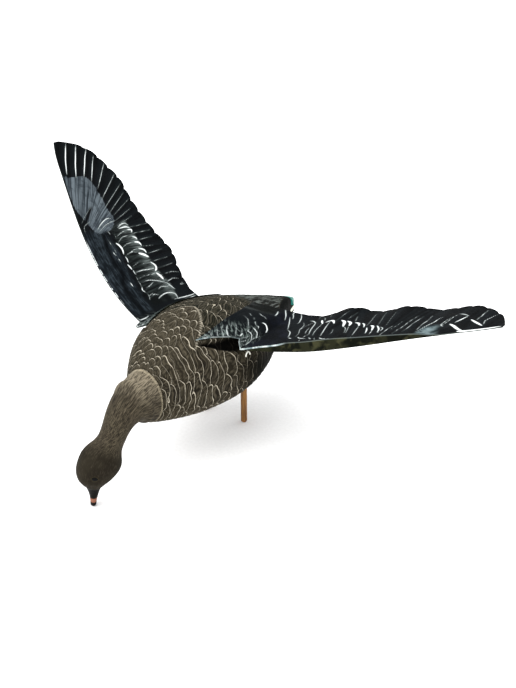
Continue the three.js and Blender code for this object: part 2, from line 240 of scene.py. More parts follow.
TAIL_END = BODY_LENGTH * TAIL_END_STATION
# The cap's floor lies 72 mm above the belly and 5.5 mm deep, and its front slants 33 degrees from
# upright
CAP_BASE_DEPTH = 5.5
CAP_BASE = TAIL_END - CAP_BASE_DEPTH
CAP_SLANT = math.tan(math.radians(33))
CAP_FLOOR = BELLY_CLEARANCE + 72
# Roundness of a feather's edge, as a share of its length
FEATHER_ROUNDING = 0.8


def body_section(y):
    """Middle height, half height and half width of the body's oval section at y."""
    share = np.asarray(y) / BODY_LENGTH
    top = top_share(share) * BODY_LENGTH
    bottom = bottom_share(share) * BODY_LENGTH
    middle = BELLY_CLEARANCE + (top + bottom) / 2
    return middle, (top - bottom) / 2, width_share(share) * BODY_LENGTH


def section_power(y):
    """Exponent of the section: 2 is an ellipse, and towards the tail's end it turns square."""
    return 2 + (TAIL_SQUARENESS - 2) * fade(SQUARER_FROM, TAIL_END_STATION, y / BODY_LENGTH)


def body_points(y, angle, lift):
    """Rounded section at y, turned from the side (0) over the back (90 degrees): half width and half
    height times the sign and the 2/power-th power of cosine and sine."""
    middle, half_height, half_width = body_section(y)
    power = 2 / section_power(y)
    across, upward = np.cos(angle), np.sin(angle)
    x = (half_width + lift) * np.sign(across) * np.abs(across) ** power
    z = middle + (half_height + lift) * np.sign(upward) * np.abs(upward) ** power
    return np.stack([x, y + 0 * angle, z], -1)


def body_height(x, y, margin):
    """Height of the back at x and y, on the body grown by the margin."""
    middle, half_height, half_width = body_section(y)
    share = np.minimum(np.abs(x) / (half_width + margin), 1)
    return middle + (half_height + margin) * np.sqrt(1 - share * share)


def feather_grid(y, angle):
    """Feather rows counted back from the seam and feather files counted down from the back's middle.

    Rows are 6 mm apart at the seam and 14 to 16 mm on the flank, and sweep back both towards the
    spine and under the belly. Feathers are widest on the flank and the belly."""
    degrees = 90 - np.degrees(np.abs(angle - math.pi / 2))
    # Counted in steps of half a millimetre
    fine_y = np.linspace(0, TAIL_END, 961)
    spacing = smooth_table([0, 40, 80, 140, 280, 478], [5.5, 8, 11.5, 14, 16, 14])(fine_y)
    counted = np.concatenate([[0], np.cumsum(np.diff(fine_y) / spacing[1:])])
    level = 1 - 0.42 * fade(45, 100, degrees) - 0.47 * fade(0, -95, degrees)
    rows = np.interp(y * level, fine_y, counted)
    files = smooth_table([-90, -40, 0, 30, 50, 90], [6.6, 5.4, 4.4, 3.6, 2.9, 0])(degrees)
    return rows, files * (1 - 0.42 * fade(120, 20, y) * fade(66, 46, degrees))


def feather_shape(rows, files):
    """Share of the way back along the feather that a point lies on: 0 just behind the edge of the
    feather before it, 1 at its own rounded edge. Every second row is moved by half a feather."""
    row = np.floor(rows)
    across = files + 0.5 * (row % 2)
    across = across - np.floor(across) - 0.5
    edge = FEATHER_ROUNDING * np.sqrt(np.maximum(1 - 4 * across**2, 0))
    back = rows - row - edge
    return back - np.floor(back)


def body_zones(y, degrees):
    """Shares of the belly's, the rump's and the tail's own colours at a point of the body."""
    belly = fade(95, 185, y + 0.9 * np.minimum(degrees, 0)) * fade(25, -5, degrees)
    rump = fade(262, 292, y) * fade(22, 34, degrees)
    tail = fade(-8, 8, y - 350 - 72 * fade(25, 75, degrees))
    return belly, rump * (1 - tail), tail


def slot_share(y, degrees):
    """How deep a point lies in the slot where the wing leaves the body: 1 along its middle."""
    middle = smooth_table([70, 85, 105, 140, 190, 240], [50, 46, 38.5, 32, 29, 27])(y)
    half = smooth_table([70, 85, 110, 140, 190, 240], [1, 2.6, 6, 10, 9, 5])(y)
    off = np.abs(degrees - middle) / half
    return fade(1.25, 0.6, off) * fade(74, 90, y) * fade(240, 215, y)


def cap_cut(y):
    """Height above which the body makes room for the tail cap, along the cap's slanted front."""
    return np.maximum(CAP_FLOOR, CAP_FLOOR + (CAP_BASE - y) / CAP_SLANT)


BODY_RING_COUNT = 250
BODY_COLUMN_COUNT = 184
FEATHER_RELIEF = 0.6
SLOT_DEPTH = 11
CAPE_LIFT = 1.6
CAP_RING_COUNT = 40
CAP_COLUMN_COUNT = 128
CAP_EDGE_ROUNDING = 1.0
# What the body's mesh carries: feather rows and files, degrees round the section from the side, mm
# back from the seam, height in mm above the ground, and the shares of the body's parts
BODY_FIELDS = {
    "feathers": ("rows", "files", "slot"),
    "zones": ("belly", "rump", "tail"),
    "trim": ("cape_line", "degrees", "back_mm"),
    "cape": ("cape", "height"),
}


def ring_angles(columns):
    """Angles round a section from the bottom, as one row."""
    return np.linspace(-math.pi / 2, 1.5 * math.pi, columns, endpoint=False)[None, :]


def make_body():
    """Rounded sections with feather relief, the cape's raised edge and the wing slots, and the upper
    corner of the tail's end cut away for the cap."""
    y = np.linspace(0, TAIL_END, BODY_RING_COUNT)[:, None]
    angle = ring_angles(BODY_COLUMN_COUNT)
    base = body_points(y, angle, 0)
    degrees = 90 - np.degrees(np.abs(angle - math.pi / 2))
    rows, files = feather_grid(y, angle)
    rows = rows + 0.2 * ripple(base, 40, 3) + 0.1 * ripple(base, 18, 31)
    files = files + 0.3 * ripple(base, 50, 4)
    belly, rump, tail = body_zones(y, degrees)
    ahead = smooth_table([40, 50, 60, 70, 82, 90], [62, 75, 98, 118, 138, 146])(degrees) - y
    cape = fade(-1.5, 1, ahead) * fade(40, 2, ahead) * fade(45, 52, degrees)
    slot = slot_share(y, degrees)
    ends = fade(0, 6, y) * fade(0, 5, TAIL_END - y)
    relief = FEATHER_RELIEF * (feather_shape(rows, files) ** 2 - 0.5) * ends * (1 - tail)
    lift = relief + CAPE_LIFT * cape - SLOT_DEPTH * slot + 0.3 * ripple(base, 70, 5) * ends
    points = body_points(y, angle, lift)
    points[..., 2] = np.minimum(points[..., 2], cap_cut(points[..., 1]))
    values = {
        "rows": rows, "files": files, "slot": slot, "belly": belly, "rump": rump, "tail": tail,
        "cape_line": fade(-0.6, 0.4, ahead) * fade(2.6, 1.2, ahead) * fade(44, 52, degrees),
        "degrees": degrees, "back_mm": y,
        "cape": fade(-3, 3, ahead) * fade(44, 50, degrees), "height": points[..., 2],
    }
    return tube_mesh("goose_body", points, carried(BODY_FIELDS, values))


def make_tail_cap():
    """The body's own form above the slanted cut, held a gap clear of the body."""
    end_top = float(top_share(TAIL_END_STATION)) * BODY_LENGTH + BELLY_CLEARANCE
    first = CAP_BASE - (end_top + CAP_BASE_DEPTH - CAP_FLOOR) * CAP_SLANT
    y = np.linspace(first, TAIL_END, CAP_RING_COUNT)[:, None]
    # The rear edge is rounded off over its last 2 mm
    inwards = -CAP_EDGE_ROUNDING * (1 - np.sqrt(np.clip((TAIL_END - y) / 2, 0, 1)))
    points = body_points(y, ring_angles(CAP_COLUMN_COUNT), inwards)
    middle, half_height, half_width = body_section(y)
    floor_height = np.minimum(cap_cut(y) + 2 * PIECE_GAP, middle + half_height - PIECE_GAP)
    rise = np.abs(floor_height - middle) / half_height
    power = section_power(y)
    reach = (half_width + inwards) * (1 - rise**power) ** (1 / power)
    below = points[..., 2] < floor_height
    points[..., 0] = np.where(below, np.clip(points[..., 0], -reach, reach), points[..., 0])
    points[..., 2] = np.maximum(points[..., 2], floor_height)
    return tube_mesh("tail_cap_teal", points, {})


# Head and neck

# The neck bows out from the seam and down to the ground in front of it. Each row's reach is a share
# of NECK_REACH, its height one of the seam's middle height and its pitch in degrees. Depth and width
# are shares of the head's, and turn is one of HEAD_TURN
NECK_REACH = 129
HEAD_LEAN = 0.1264 * NECK_REACH
HEAD_TURN = 42
HEAD_DEPTH = 73
HEAD_WIDTH = 58
NECK_ROWS = [
    # reach, height, pitch, depth share, width share, turn share
    [0.0, 1.0, 0, 0, 0, 0],
    [0.17, 1.008, 8, 1.15, 1.27, 0],
    [0.333, 0.994, 22, 0.925, 1.13, 0],
    [0.465, 0.94, 38, 0.77, 0.96, 0.02],
    [0.55, 0.875, 48, 0.67, 0.86, 0.08],
    [0.605, 0.815, 52, 0.622, 0.81, 0.2],
    [0.667, 0.745, 52, 0.61, 0.79, 0.38],
    [0.736, 0.69, 51, 0.67, 0.82, 0.6],
    [0.798, 0.645, 54, 0.81, 0.9, 0.8],
    [0.853, 0.59, 61, 0.94, 0.97, 0.93],
    [0.905, 0.51, 74, 1.0, 1.0, 1],
    [0.938, 0.437, 82, 0.96, 0.96, 1],
    [0.969, 0.37, 86, 0.81, 0.85, 1],
    [0.984, 0.318, 88, 0.61, 0.68, 1],
    [0.988, 0.27, 90, 0.42, 0.5, 1],
    [0.99, 0.24, 90, 0.34, 0.42, 1],
    [0.992, 0.165, 90, 0.235, 0.34, 1],
    [1.0, 0.08, 90, 0.17, 0.29, 1],
    [1.0, 0.02, 90, 0.15, 0.24, 1],
    [0.998, 0.0, 90, 0.07, 0.12, 1],
]
# The eye's place on the head, half its size in mm along the head's flow, round it and into it, and
# the height of its dome
EYE_ROW = 11.1
EYE_ANGLE = math.radians(12)
EYE_ALONG = 3.8
EYE_ROUND = 5.6
EYE_REACH = 8
EYE_DOME = 1.1
# Height above the ground at which the bill begins, on the cheek's middle line
BILL_HEIGHT = 42
NECK_RING_COUNT = 300
NECK_COLUMN_COUNT = 144
# What the neck's mesh carries: its row in the table, the angle round it, the sine of that (1 on the
# crown), the height in mm above the ground, the bill's share, and the distance from an eye
NECK_FIELDS = {"flow": ("along", "around", "crown"), "marks": ("height", "bill", "eye")}


def neck_frames(at):
    """Centre, half depth, half width, crown and cheek directions of the neck's section at a row."""
    stations = np.arange(len(NECK_ROWS))
    table = np.array(NECK_ROWS)
    reach, height, pitch, depth, width, turn = (smooth_table(stations, row) for row in table.T)
    seam_middle, seam_height, seam_width = body_section(0.0)
    to_seam = np.maximum(1 - at, 0)
    later = np.maximum(at, 1)
    half_depth = HEAD_DEPTH / 2 * depth(later) * (1 - to_seam) + seam_height * to_seam
    half_width = HEAD_WIDTH / 2 * width(later) * (1 - to_seam) + seam_width * to_seam
    tilt = np.radians(pitch(at))
    yaw = np.radians(turn(at) * HEAD_TURN)
    lean = at / (len(NECK_ROWS) - 1)
    to_right = HEAD_LEAN * lean**2 * (2 - lean)
    centre = [-to_right, -PIECE_GAP - reach(at) * NECK_REACH, height(at) * seam_middle]
    crown = [-np.sin(yaw), -np.sin(tilt) * np.cos(yaw), np.cos(tilt) * np.cos(yaw)]
    cheek = [np.cos(yaw), -np.sin(tilt) * np.sin(yaw), np.cos(tilt) * np.sin(yaw)]
    return (np.stack(part, -1) for part in (centre, [half_depth, half_width], crown, cheek))


def neck_points(at, angle):
    """Oval sections: centre + cheek half_width cos(angle) + crown half_depth sin(angle)."""
    centre, half, crown, cheek = neck_frames(at)
    across = cheek * half[..., 1:] * np.cos(angle)[..., None]
    return centre + across + crown * half[..., :1] * np.sin(angle)[..., None]


def eye_distance(points):
    """Distance from the nearer eye's middle, 1 on the rim of its almond, for both sides."""
    nearest = np.full(points.shape[:-1], FAR)
    for angle in (EYE_ANGLE, math.pi - EYE_ANGLE):
        # The eye's middle, a place further along the head and one a little nearer to its crown
        places = ((EYE_ROW, angle), (EYE_ROW + 0.3, angle), (EYE_ROW, angle * 0.9 + 0.157))
        middle, ahead, above = (
            neck_points(np.array([[row]]), np.array([[turn]]))[0, 0] for row, turn in places
        )
        forward = unit(ahead - middle)
        up = above - middle
        up = unit(up - forward * (up @ forward))
        offset = points - middle
        along = np.abs(offset @ forward) / EYE_ALONG
        across = offset @ up / EYE_ROUND
        depth = np.abs(offset @ np.cross(forward, up)) / EYE_REACH
        almond = along**2 + across**2 + 0.5 * along * across**2
        nearest = np.minimum(nearest, np.sqrt(almond + depth**2))
    return nearest


def make_head_and_neck():
    """The neck's oval sections with domed eyes in a raised rim, and a step where the bill begins."""
    last = len(NECK_ROWS) - 1
    at = np.linspace(0, last, NECK_RING_COUNT)[:, None]
    angle = np.linspace(0, 2 * math.pi, NECK_COLUMN_COUNT, endpoint=False)[None, :]
    points = neck_points(at + 0 * angle, angle + 0 * at)
    normals = -grid_normals(points)
    outward = (normals * (points - points.mean(1, keepdims=True))).sum(-1).mean() > 0
    normals = normals if outward else -normals
    eye = eye_distance(points)
    bill_line = BILL_HEIGHT + 3.5 * np.sin(angle) - 2.5 * np.cos(angle) ** 2
    bill = fade(1.2, -1.2, points[..., 2] - bill_line)
    lift = EYE_DOME * np.sqrt(np.clip(1 - eye**2, 0, 1)) + 0.35 * np.exp(-(((eye - 1.2) / 0.2) ** 2))
    lift = lift - 0.5 * bill * (1 - fade(17.5, last, at))
    lift = lift + 0.25 * ripple(points, 60, 8) * fade(0, 0.5, at)
    points = points + normals * lift[..., None]
    values = {
        "along": at, "around": angle, "crown": np.sin(angle),
        "height": points[..., 2], "bill": bill, "eye": eye,
    }
    return tube_mesh("goose_head_neck", points, carried(NECK_FIELDS, values))


# Wings

# A wing's cloth is given by its length from the root to the tip, its chord from the front edge to
# the rear one, and the place of the root's front end. Waves and lifts are shares of the root's chord
WING_LENGTH = 409.0
WING_ROOT_CHORD = 187.0
CAD_CLOTH_THICKNESS = 2.4
CLOTH_TO_BODY_GAP = 1.2
ROOT_FRONT = 0.276 * BODY_LENGTH
ROOT_HEIGHT = BELLY_CLEARANCE + 0.304 * BODY_LENGTH
ROOT_OUT = 0.237 * BODY_LENGTH
chord_share = smooth_table(
    [0, 0.15, 0.3, 0.45, 0.6, 0.75, 0.87, 0.95, 1],
    [0.991, 1.016, 1.12, 0.988, 0.889, 0.771, 0.602, 0.369, 0.087],
)
# Cloth from the front to the rear edge at the root
ROOT_CLOTH = float(chord_share(0)) * WING_ROOT_CHORD
WAVE_STATIONS = [0, 0.07, 0.15, 0.25, 0.35, 0.43, 0.51, 0.58, 0.65, 0.72, 0.82, 0.92, 1]
LEFT_WAVES = [0, -0.011, -0.016, 0.027, -0.021, -0.005, 0.029, 0.011, -0.024, -0.016, 0.013, 0, 0]
RIGHT_WAVES = [0, -0.016, 0.011, 0.005, -0.013, 0, -0.003, -0.008, 0, 0.019, -0.005, 0.011, 0]
LIFT_STATIONS = [0, 0.1, 0.2, 0.3, 0.4, 1]
LEFT_FRONT_LIFT = [0.02, 0.025, 0.018, 0.004, 0, 0]
# The front edge sweeps back by a cubic along the wing, and once more at the tip
SWEEP = (-0.106, 0.821, -0.362)
TIP_START = 0.88
TIP_SETBACK = 0.0183
PATH_STEPS = 2400
# The panel on the back: both ends of its inner edge, how far out from the middle that edge lies, and
# how far its front edge bows back
PANEL_FRONT = 0.167 * BODY_LENGTH
PANEL_REAR = 0.608 * BODY_LENGTH
inner_out = smooth_table([0, 0.15, 0.41, 0.655, 1], [0.115, 0.126, 0.126, 0.115, 0.08])
SETBACK_SHARES = [0, 0.375, 0.68, 0.8, 1]
LEFT_SETBACK = [0, 0.045, 0.082, 0.05, 0]
RIGHT_SETBACK = [0, -0.036, -0.035, -0.028, 0]
# Rounded feather ends along the rear edge, and how far they stand out
FEATHER_TIPS = 15
FEATHER_TIP_DEPTH = 5

# How far the near wing's front edge curls up, in mm, along the wing
LIP_STATIONS = [0, 0.1, 0.18, 0.22, 0.3, 0.4, 0.5, 0.6, 0.7, 0.76, 0.8, 1]
LIP_HEIGHTS = [1.5, 8, 12.5, 16, 18, 19, 16, 12.5, 8, 3, 1, 1]

# The print's straight white lines: the pen's weight, then both ends, each in per cent of the wing's
# length and in mm behind its front edge. Weight 2 draws a line 1.1 mm wide and weight 6 one of 4.9 mm
RIGHT_LINES = [
    [2.6, 14, 142, 14.2, 155], [2.2, 18, 150, 18, 162], [1.2, 22, 145, 21.8, 188],
    [1.3, 26.3, 140, 25.8, 186], [1.5, 31, 142, 30.8, 186], [1.1, 35.3, 140, 34.2, 168],
    [1.3, 39, 138, 38.7, 178], [1.6, 43, 128, 42.2, 180], [1.2, 46.6, 128, 45.8, 178],
    [1.3, 49, 98, 52, 147], [1.5, 52, 98, 56, 152], [1.4, 55, 100, 61, 158],
    [1.7, 56.2, 87, 65, 150], [1.9, 59.5, 81, 69.6, 148], [2.3, 64, 81, 75.6, 141],
    [2.5, 70.4, 82, 83.4, 126], [3.2, 75, 72, 88, 100.5], [4.0, 78.2, 56, 93.5, 87],
    [4.2, 78.8, 34, 96.5, 60.5], [4.2, 81.8, 13, 98.6, 33.5],
]
LEFT_LINES = [
    [1.0, 13.8, 172, 12.6, 188], [1.1, 19.5, 172, 18, 186], [1.2, 25.2, 146, 25.6, 192],
    [0.9, 29, 158, 29.4, 190], [1.3, 33.2, 146, 31.4, 172], [1.5, 42, 108, 38.4, 180],
    [1.0, 47, 104, 43, 176], [1.0, 51, 95, 48.5, 160], [2.2, 53.4, 45, 54.2, 87],
    [1.3, 55.2, 70, 56.4, 102], [2.1, 58.2, 44, 60.2, 126], [2.1, 61.6, 47, 62.4, 122],
    [2.2, 66.6, 47, 65.8, 122], [2.2, 75, 46, 77, 104], [2.4, 87.2, 56, 88, 98],
]

# The print's curved white lines: the pen's weight, then their points, measured in the same way. The
# coverts' lines end in broad white crescents
RIGHT_CURVES = [
    # Root hem, and the marks on the part that lies in front of it on the back
    [3.4, (2.4, 2), (1, 3), (0.8, 10), (0.8, 20), (1.3, 31)], [4.0, (-7.6, 5), (-8.4, 9)],
    [4.0, (-10.6, 5), (-11.6, 10)], [3.0, (-2, 1), (-7, 2), (-11, 3)],
    [2.4, (-3, 8), (-5, 14), (-4.6, 22)], [2.2, (-7, 12), (-9, 18), (-9.4, 28)],
    [2.6, (-1.6, 34), (-3, 46)], [3.4, (-11.4, 18), (-12, 24)],
    [2.2, (-13, 6), (-13.6, 22), (-14, 34)], [2.0, (-4, 62), (-6, 75)],
    [3.4, (4.4, 124), (3.8, 146), (3.4, 168), (3.2, 186)], [2.6, (2.6, 146), (2.2, 168), (2, 186)],
    [3.4, (4, 133), (5.5, 136.5), (7, 137), (8.2, 128), (8.8, 115), (8.2, 98), (7.4, 88)],
    [2.4, (10, 80), (10.2, 88), (9.2, 97)], [2.0, (10.4, 72), (11, 86)],
    [2.6, (11.8, 105), (12.6, 118), (11.8, 130), (11.8, 143)],
    [3.4, (9, 147), (11, 143.5), (12.8, 139)], [2.2, (14.6, 80), (15, 92), (16.2, 108)],
    [3.0, (18, 80), (17.8, 98), (16, 119), (14, 134), (12.2, 144)],
    [6.5, (15.6, 136), (17.6, 135), (20, 130)],
    [2.0, (20.4, 80), (20.6, 98), (20, 120), (19.9, 138)],
    [5.6, (21, 131), (22.2, 138.5), (24, 140.5), (26.2, 134)],
    [3.0, (23.8, 78), (23.6, 100), (22.8, 120), (22.4, 136)],
    [1.2, (26.4, 110), (26.8, 124), (26.2, 134)], [1.2, (27, 83), (27.6, 94), (28.3, 107)],
    [6.5, (29, 139), (31, 130), (32.6, 118)], [1.8, (32.8, 118), (34.2, 104), (33.6, 84)],
    [5.0, (31.4, 139.5), (33.4, 137), (35, 124)], [1.6, (35, 124), (34.8, 108), (33.8, 94)],
    [5.0, (35.6, 137.5), (37.8, 134), (38.8, 122)], [2.0, (38.8, 122), (38.8, 100), (37.8, 85)],
    [4.2, (39.4, 133), (40.6, 132), (41.8, 123)], [2.0, (40.8, 80), (42.8, 98), (42.6, 124)],
    [4.4, (43.6, 127), (45, 129), (45.8, 118)], [2.2, (45.8, 118), (45.2, 100), (44, 84)],
    [4.0, (46.2, 128), (47.4, 117), (47.6, 98)],
    [3.0, (47.4, 127), (49.2, 121), (49.2, 108), (48.2, 96)],
    [2.4, (14.2, 153), (14.4, 161), (13.4, 175)], [2.0, (18, 160), (17.6, 172), (16.2, 187)],
    [1.8, (10, 183), (10.4, 170), (11, 180)],
    # Broken border of white marks between the wing's front and the coverts
    [1.8, (8.5, 66), (10, 71), (12, 72)], [3.7, (12.6, 70), (14.2, 67), (15.6, 71)],
    [1.9, (16, 71), (18, 74), (19.2, 74)], [2.2, (19.8, 75), (21.4, 76)],
    [3.0, (22.6, 79), (24, 77.5), (25.4, 79)], [4.8, (25.6, 77), (27.4, 76), (29, 74)],
    [3.7, (29.6, 79), (31.4, 81), (33.2, 80)], [5.5, (34.4, 79), (37, 82), (39.4, 79), (41, 73)],
    [3.1, (17.4, 52.5), (20, 52.5)], [2.2, (31, 61), (33.4, 60)], [3.0, (34.8, 58.5), (37.4, 54.5)],
    [1.8, (36.4, 62.5), (38.6, 62)], [1.9, (39.8, 60.5), (42, 58.5), (44, 57)],
    [2.5, (46, 69.5), (47, 68), (48, 66)], [1.5, (43.6, 80), (45.4, 80)],
    # Pale outlines of the dark feathers near the front edge
    [1.6, (50.5, 8), (53.6, 12), (55, 28), (55.4, 32)], [1.2, (55.6, 9), (59, 26), (62.2, 47)],
    [3.0, (50.2, 42), (52.6, 58), (54.2, 76), (53.8, 88)],
    [2.0, (48.6, 44), (50.8, 62), (52, 84), (52, 96)],
]
LEFT_CURVES = [
    [2.6, (0, 163), (3.6, 138), (7.2, 109)], [2.6, (7.2, 109), (10, 98), (11.8, 84), (13, 71)],
    [2.6, (2.2, 189), (5.2, 170), (7.2, 150), (7.6, 140)], [2.6, (0, 176), (1.2, 168), (2.4, 158)],
    [1.9, (15.8, 76), (15, 92), (12.8, 112), (11.6, 134), (9.4, 149)],
    [1.8, (12.8, 112), (13, 138), (14.2, 152)], [3.2, (11, 160), (13, 158.5), (15, 150)],
    [2.6, (20.6, 84), (18.4, 108), (16, 140), (14.6, 155)], [2.0, (18, 92), (16.8, 106), (16, 122)],
    [2.2, (19.4, 72), (20, 86)], [4.6, (16.6, 162), (18, 152), (20, 138)],
    [2.0, (18.4, 158), (17.4, 168), (16, 176)],
    [2.2, (22.8, 80), (21.4, 100), (20.4, 124), (19.4, 146)],
    [5.6, (20.6, 144), (22.4, 148.5), (24, 146), (25.8, 133)],
    [2.6, (26.8, 75), (25.6, 95), (24, 121), (22.6, 146)], [1.4, (30, 82), (29.6, 94), (28.4, 108)],
    [6.0, (27.2, 149), (29.2, 142), (31, 121)], [1.8, (31, 121), (33, 112), (35.4, 86)],
    [5.6, (30, 147), (32.2, 138), (33.2, 124)], [1.8, (33.2, 124), (34.2, 110), (36.2, 84)],
    [5.0, (34, 139), (36, 134), (37.8, 119)], [2.2, (37.8, 119), (39.2, 92), (40.8, 66)],
    [3.6, (37.6, 133), (39.6, 122), (41.6, 102)], [3.4, (43.2, 98), (44.4, 86), (45.6, 69)],
    [5.0, (44, 106), (45.8, 97), (47.2, 78)], [2.4, (47.2, 80), (48, 60)],
    [3.6, (47, 100), (48.6, 89), (50.2, 75), (50.8, 62)], [2.2, (49.4, 89), (51.6, 76), (51.2, 60)],
    # Broken border of white marks
    [3.0, (13.4, 69), (15.2, 66)], [2.9, (17, 74), (18.6, 69), (21.8, 65)],
    [1.6, (19.6, 62), (20.4, 53)], [2.1, (22.6, 69), (24.6, 61)], [1.7, (25.4, 66), (26.4, 59)],
    [2.8, (27.4, 67), (29, 62), (31, 60)], [3.0, (31, 60), (33, 59), (35, 54)],
    [1.7, (35, 59), (38, 45)], [3.7, (39.6, 49), (41.2, 59)], [2.1, (41.8, 56), (45.4, 43)],
    # Outer part: the pale fold's rim, the folded feathers behind it and the tip's stripes
    [3.0, (67.2, 38), (69, 60), (70, 76), (70.4, 94), (71.6, 102)],
    [2.4, (76.4, 44), (74.6, 56), (74.6, 74), (76, 90)], [4.2, (79.4, 56), (81, 65), (82.4, 79)],
    [2.4, (82.6, 80), (80, 93), (77.4, 103)], [5.6, (78, 53), (80.6, 38), (83.4, 20), (86.6, 4)],
    [4.8, (85, 60), (88.2, 42), (91.8, 22)], [9.0, (84.5, 7), (87.5, 3), (93, 3), (99, 5)],
    [2.6, (91.8, 28), (91, 48), (92.4, 66), (93.4, 73)],
]

# The same on the panel that lies on the back: per cent from its inner edge to the root, and per cent
# from its front to its rear edge
PANEL_CURVES = [
    [1.2, (12, 1), (3, 8)], [1.2, (20, 0), (5, 7)], [1.2, (28, 0), (18, 5), (2, 16)],
    [1.3, (36, 0), (25, 7), (6, 22)], [1.4, (44, 0), (36, 6), (30, 10), (13, 22)],
    [2.2, (54, 0), (46, 4), (38, 10), (28, 18), (18, 28)], [1.2, (49, 2), (40, 9), (30, 17)],
    [1.4, (60, 2), (52, 10), (44, 19), (36, 27), (27, 34)], [1.2, (66, 6), (59, 14), (52, 20)],
    [1.2, (18, 20), (10, 27)], [1.2, (30, 24), (20, 34)],
    [1.5, (60, 27), (52, 34), (45, 41), (35, 49), (20, 55)], [1.8, (65, 37), (58, 42), (54, 46)],
    [1.1, (48, 50), (42, 56)], [1.1, (33, 59), (23, 65)],
    [1.8, (66, 59), (58, 63), (48, 66), (39, 71)], [3.0, (65, 5), (62, 12)],
    [3.0, (62, 24), (66, 19), (70, 19), (76, 21.5), (82, 22.5), (90, 20), (95, 18)],
    [3.4, (66, 31), (70, 29), (76, 31), (83, 32.5), (90, 31), (97, 27)],
    [3.0, (66, 36), (72, 37.5), (76, 36)],
    [4.6, (68, 46.5), (74, 49.5), (80, 51), (87, 50), (94, 48), (98.5, 44)],
    [2.6, (72, 75), (70, 83), (66, 90)], [2.6, (99, 79), (90, 87), (80, 95), (74, 101)],
    [2.4, (100, 93), (96, 100)], [1.6, (92, 3), (96, 12), (94, 24), (98, 34)],
    [1.6, (78, 0), (84, 8), (88, 16)], [1.4, (70, 0), (78, 12), (80, 18)],
]


def wing(side, rise, twist, waves, lifts, setbacks, lip, lines, curves):
    """What differs between the two wings: side, rise and twist in degrees, the waves of the rear edge
    and the lifts of the front one, the panel's setbacks, the lip, and the print's white lines."""
    lines = np.array(lines, float)
    lines[:, 1::2] *= WING_LENGTH / 100
    return {
        "side": side,
        "rise": rise,
        "twist": twist,
        "wave": smooth_table(WAVE_STATIONS, waves),
        "lift": smooth_table(LIFT_STATIONS, lifts),
        "setback": smooth_table(SETBACK_SHARES, setbacks),
        "lip": smooth_table(LIP_STATIONS, lip),
        "lines": lines,
        "curves": curves,
    }


WINGS = {
    "left": wing(
        side=1, rise=(9, 21.5, -21.9), twist=(-0.3, 1.1), waves=LEFT_WAVES, lifts=LEFT_FRONT_LIFT,
        setbacks=LEFT_SETBACK, lip=LIP_HEIGHTS, lines=LEFT_LINES, curves=LEFT_CURVES,
    ),
    "right": wing(
        side=-1, rise=(35.1, 4.2, 0.8), twist=(6.1, 3.5), waves=RIGHT_WAVES,
        lifts=[0] * len(LIFT_STATIONS), setbacks=RIGHT_SETBACK, lip=[0] * len(LIP_STATIONS),
        lines=RIGHT_LINES, curves=RIGHT_CURVES,
    ),
}


def wing_chord(along):
    """Cloth from front to rear edge, with rounded feather ends along the rear."""
    notch = np.abs(2 * ((along * FEATHER_TIPS) % 1) - 1) ** 3 - 0.25
    return chord_share(along) * WING_ROOT_CHORD - FEATHER_TIP_DEPTH * notch * np.minimum(1, along * 6)


def rise_angle(w, along):
    """Angle at which the wing's path rises: a parabola along the wing."""
    first, second, third = w["rise"]
    return np.radians(first + second * along + third * along**2)


def outer_wing(w, along, back):
    """The path rises out from the body by its angle, the front edge sweeps by a cubic, and the
    chord runs back from it, dropped by the twist and lifted by the waves of both edges."""
    fine = np.linspace(0, 1, PATH_STEPS + 1)
    slope = rise_angle(w, (fine[1:] + fine[:-1]) / 2)
    step = WING_LENGTH / PATH_STEPS
    path_x = ROOT_OUT + np.concatenate([[0], np.cumsum(np.cos(slope))]) * step
    path_z = ROOT_HEIGHT + np.concatenate([[0], np.cumsum(np.sin(slope))]) * step
    angle = rise_angle(w, along)
    near_tip = np.maximum(0, (along - TIP_START) / (1 - TIP_START))
    sweep = along * (SWEEP[0] + along * (SWEEP[1] + SWEEP[2] * along)) + TIP_SETBACK * near_tip**2
    chord = wing_chord(along) * back
    drop = np.radians(w["twist"][0] * (1 - along) + w["twist"][1] * along)
    wave = WING_ROOT_CHORD * (w["wave"](along) * back**2 + w["lift"](along) * (1 - back) ** 2)
    x = np.interp(along, fine, path_x) - wave * np.sin(angle)
    y = ROOT_FRONT + WING_LENGTH * sweep + chord * np.cos(drop)
    z = np.interp(along, fine, path_z) - chord * np.sin(drop) + wave * np.cos(angle)
    return np.stack([x, y, z], -1)


def panel(w, along, back):
    """Lies on the back: a plate between its inner edge and the wing's root, lifted to the body."""
    margin = CLOTH_TO_BODY_GAP + CAD_CLOTH_THICKNESS / 2
    inner_x = inner_out(back) * BODY_LENGTH
    drop = np.radians(w["twist"][0])
    front = PANEL_FRONT + (ROOT_FRONT - PANEL_FRONT) * along + w["setback"](along) * BODY_LENGTH
    rear = PANEL_REAR + (ROOT_FRONT + ROOT_CLOTH * np.cos(drop) - PANEL_REAR) * along
    x = inner_x + (ROOT_OUT - inner_x) * along
    y = front + (rear - front) * back
    inner_z = body_height(inner_x, PANEL_FRONT + (PANEL_REAR - PANEL_FRONT) * back, margin)
    front_lift = WING_ROOT_CHORD * w["lift"](0.0) * (1 - back) ** 2
    outer_z = ROOT_HEIGHT - back * ROOT_CLOTH * np.sin(drop) + front_lift
    straight = inner_z + (outer_z - inner_z) * along
    return np.stack([x, y, np.maximum(straight, body_height(x, y, margin))], -1)


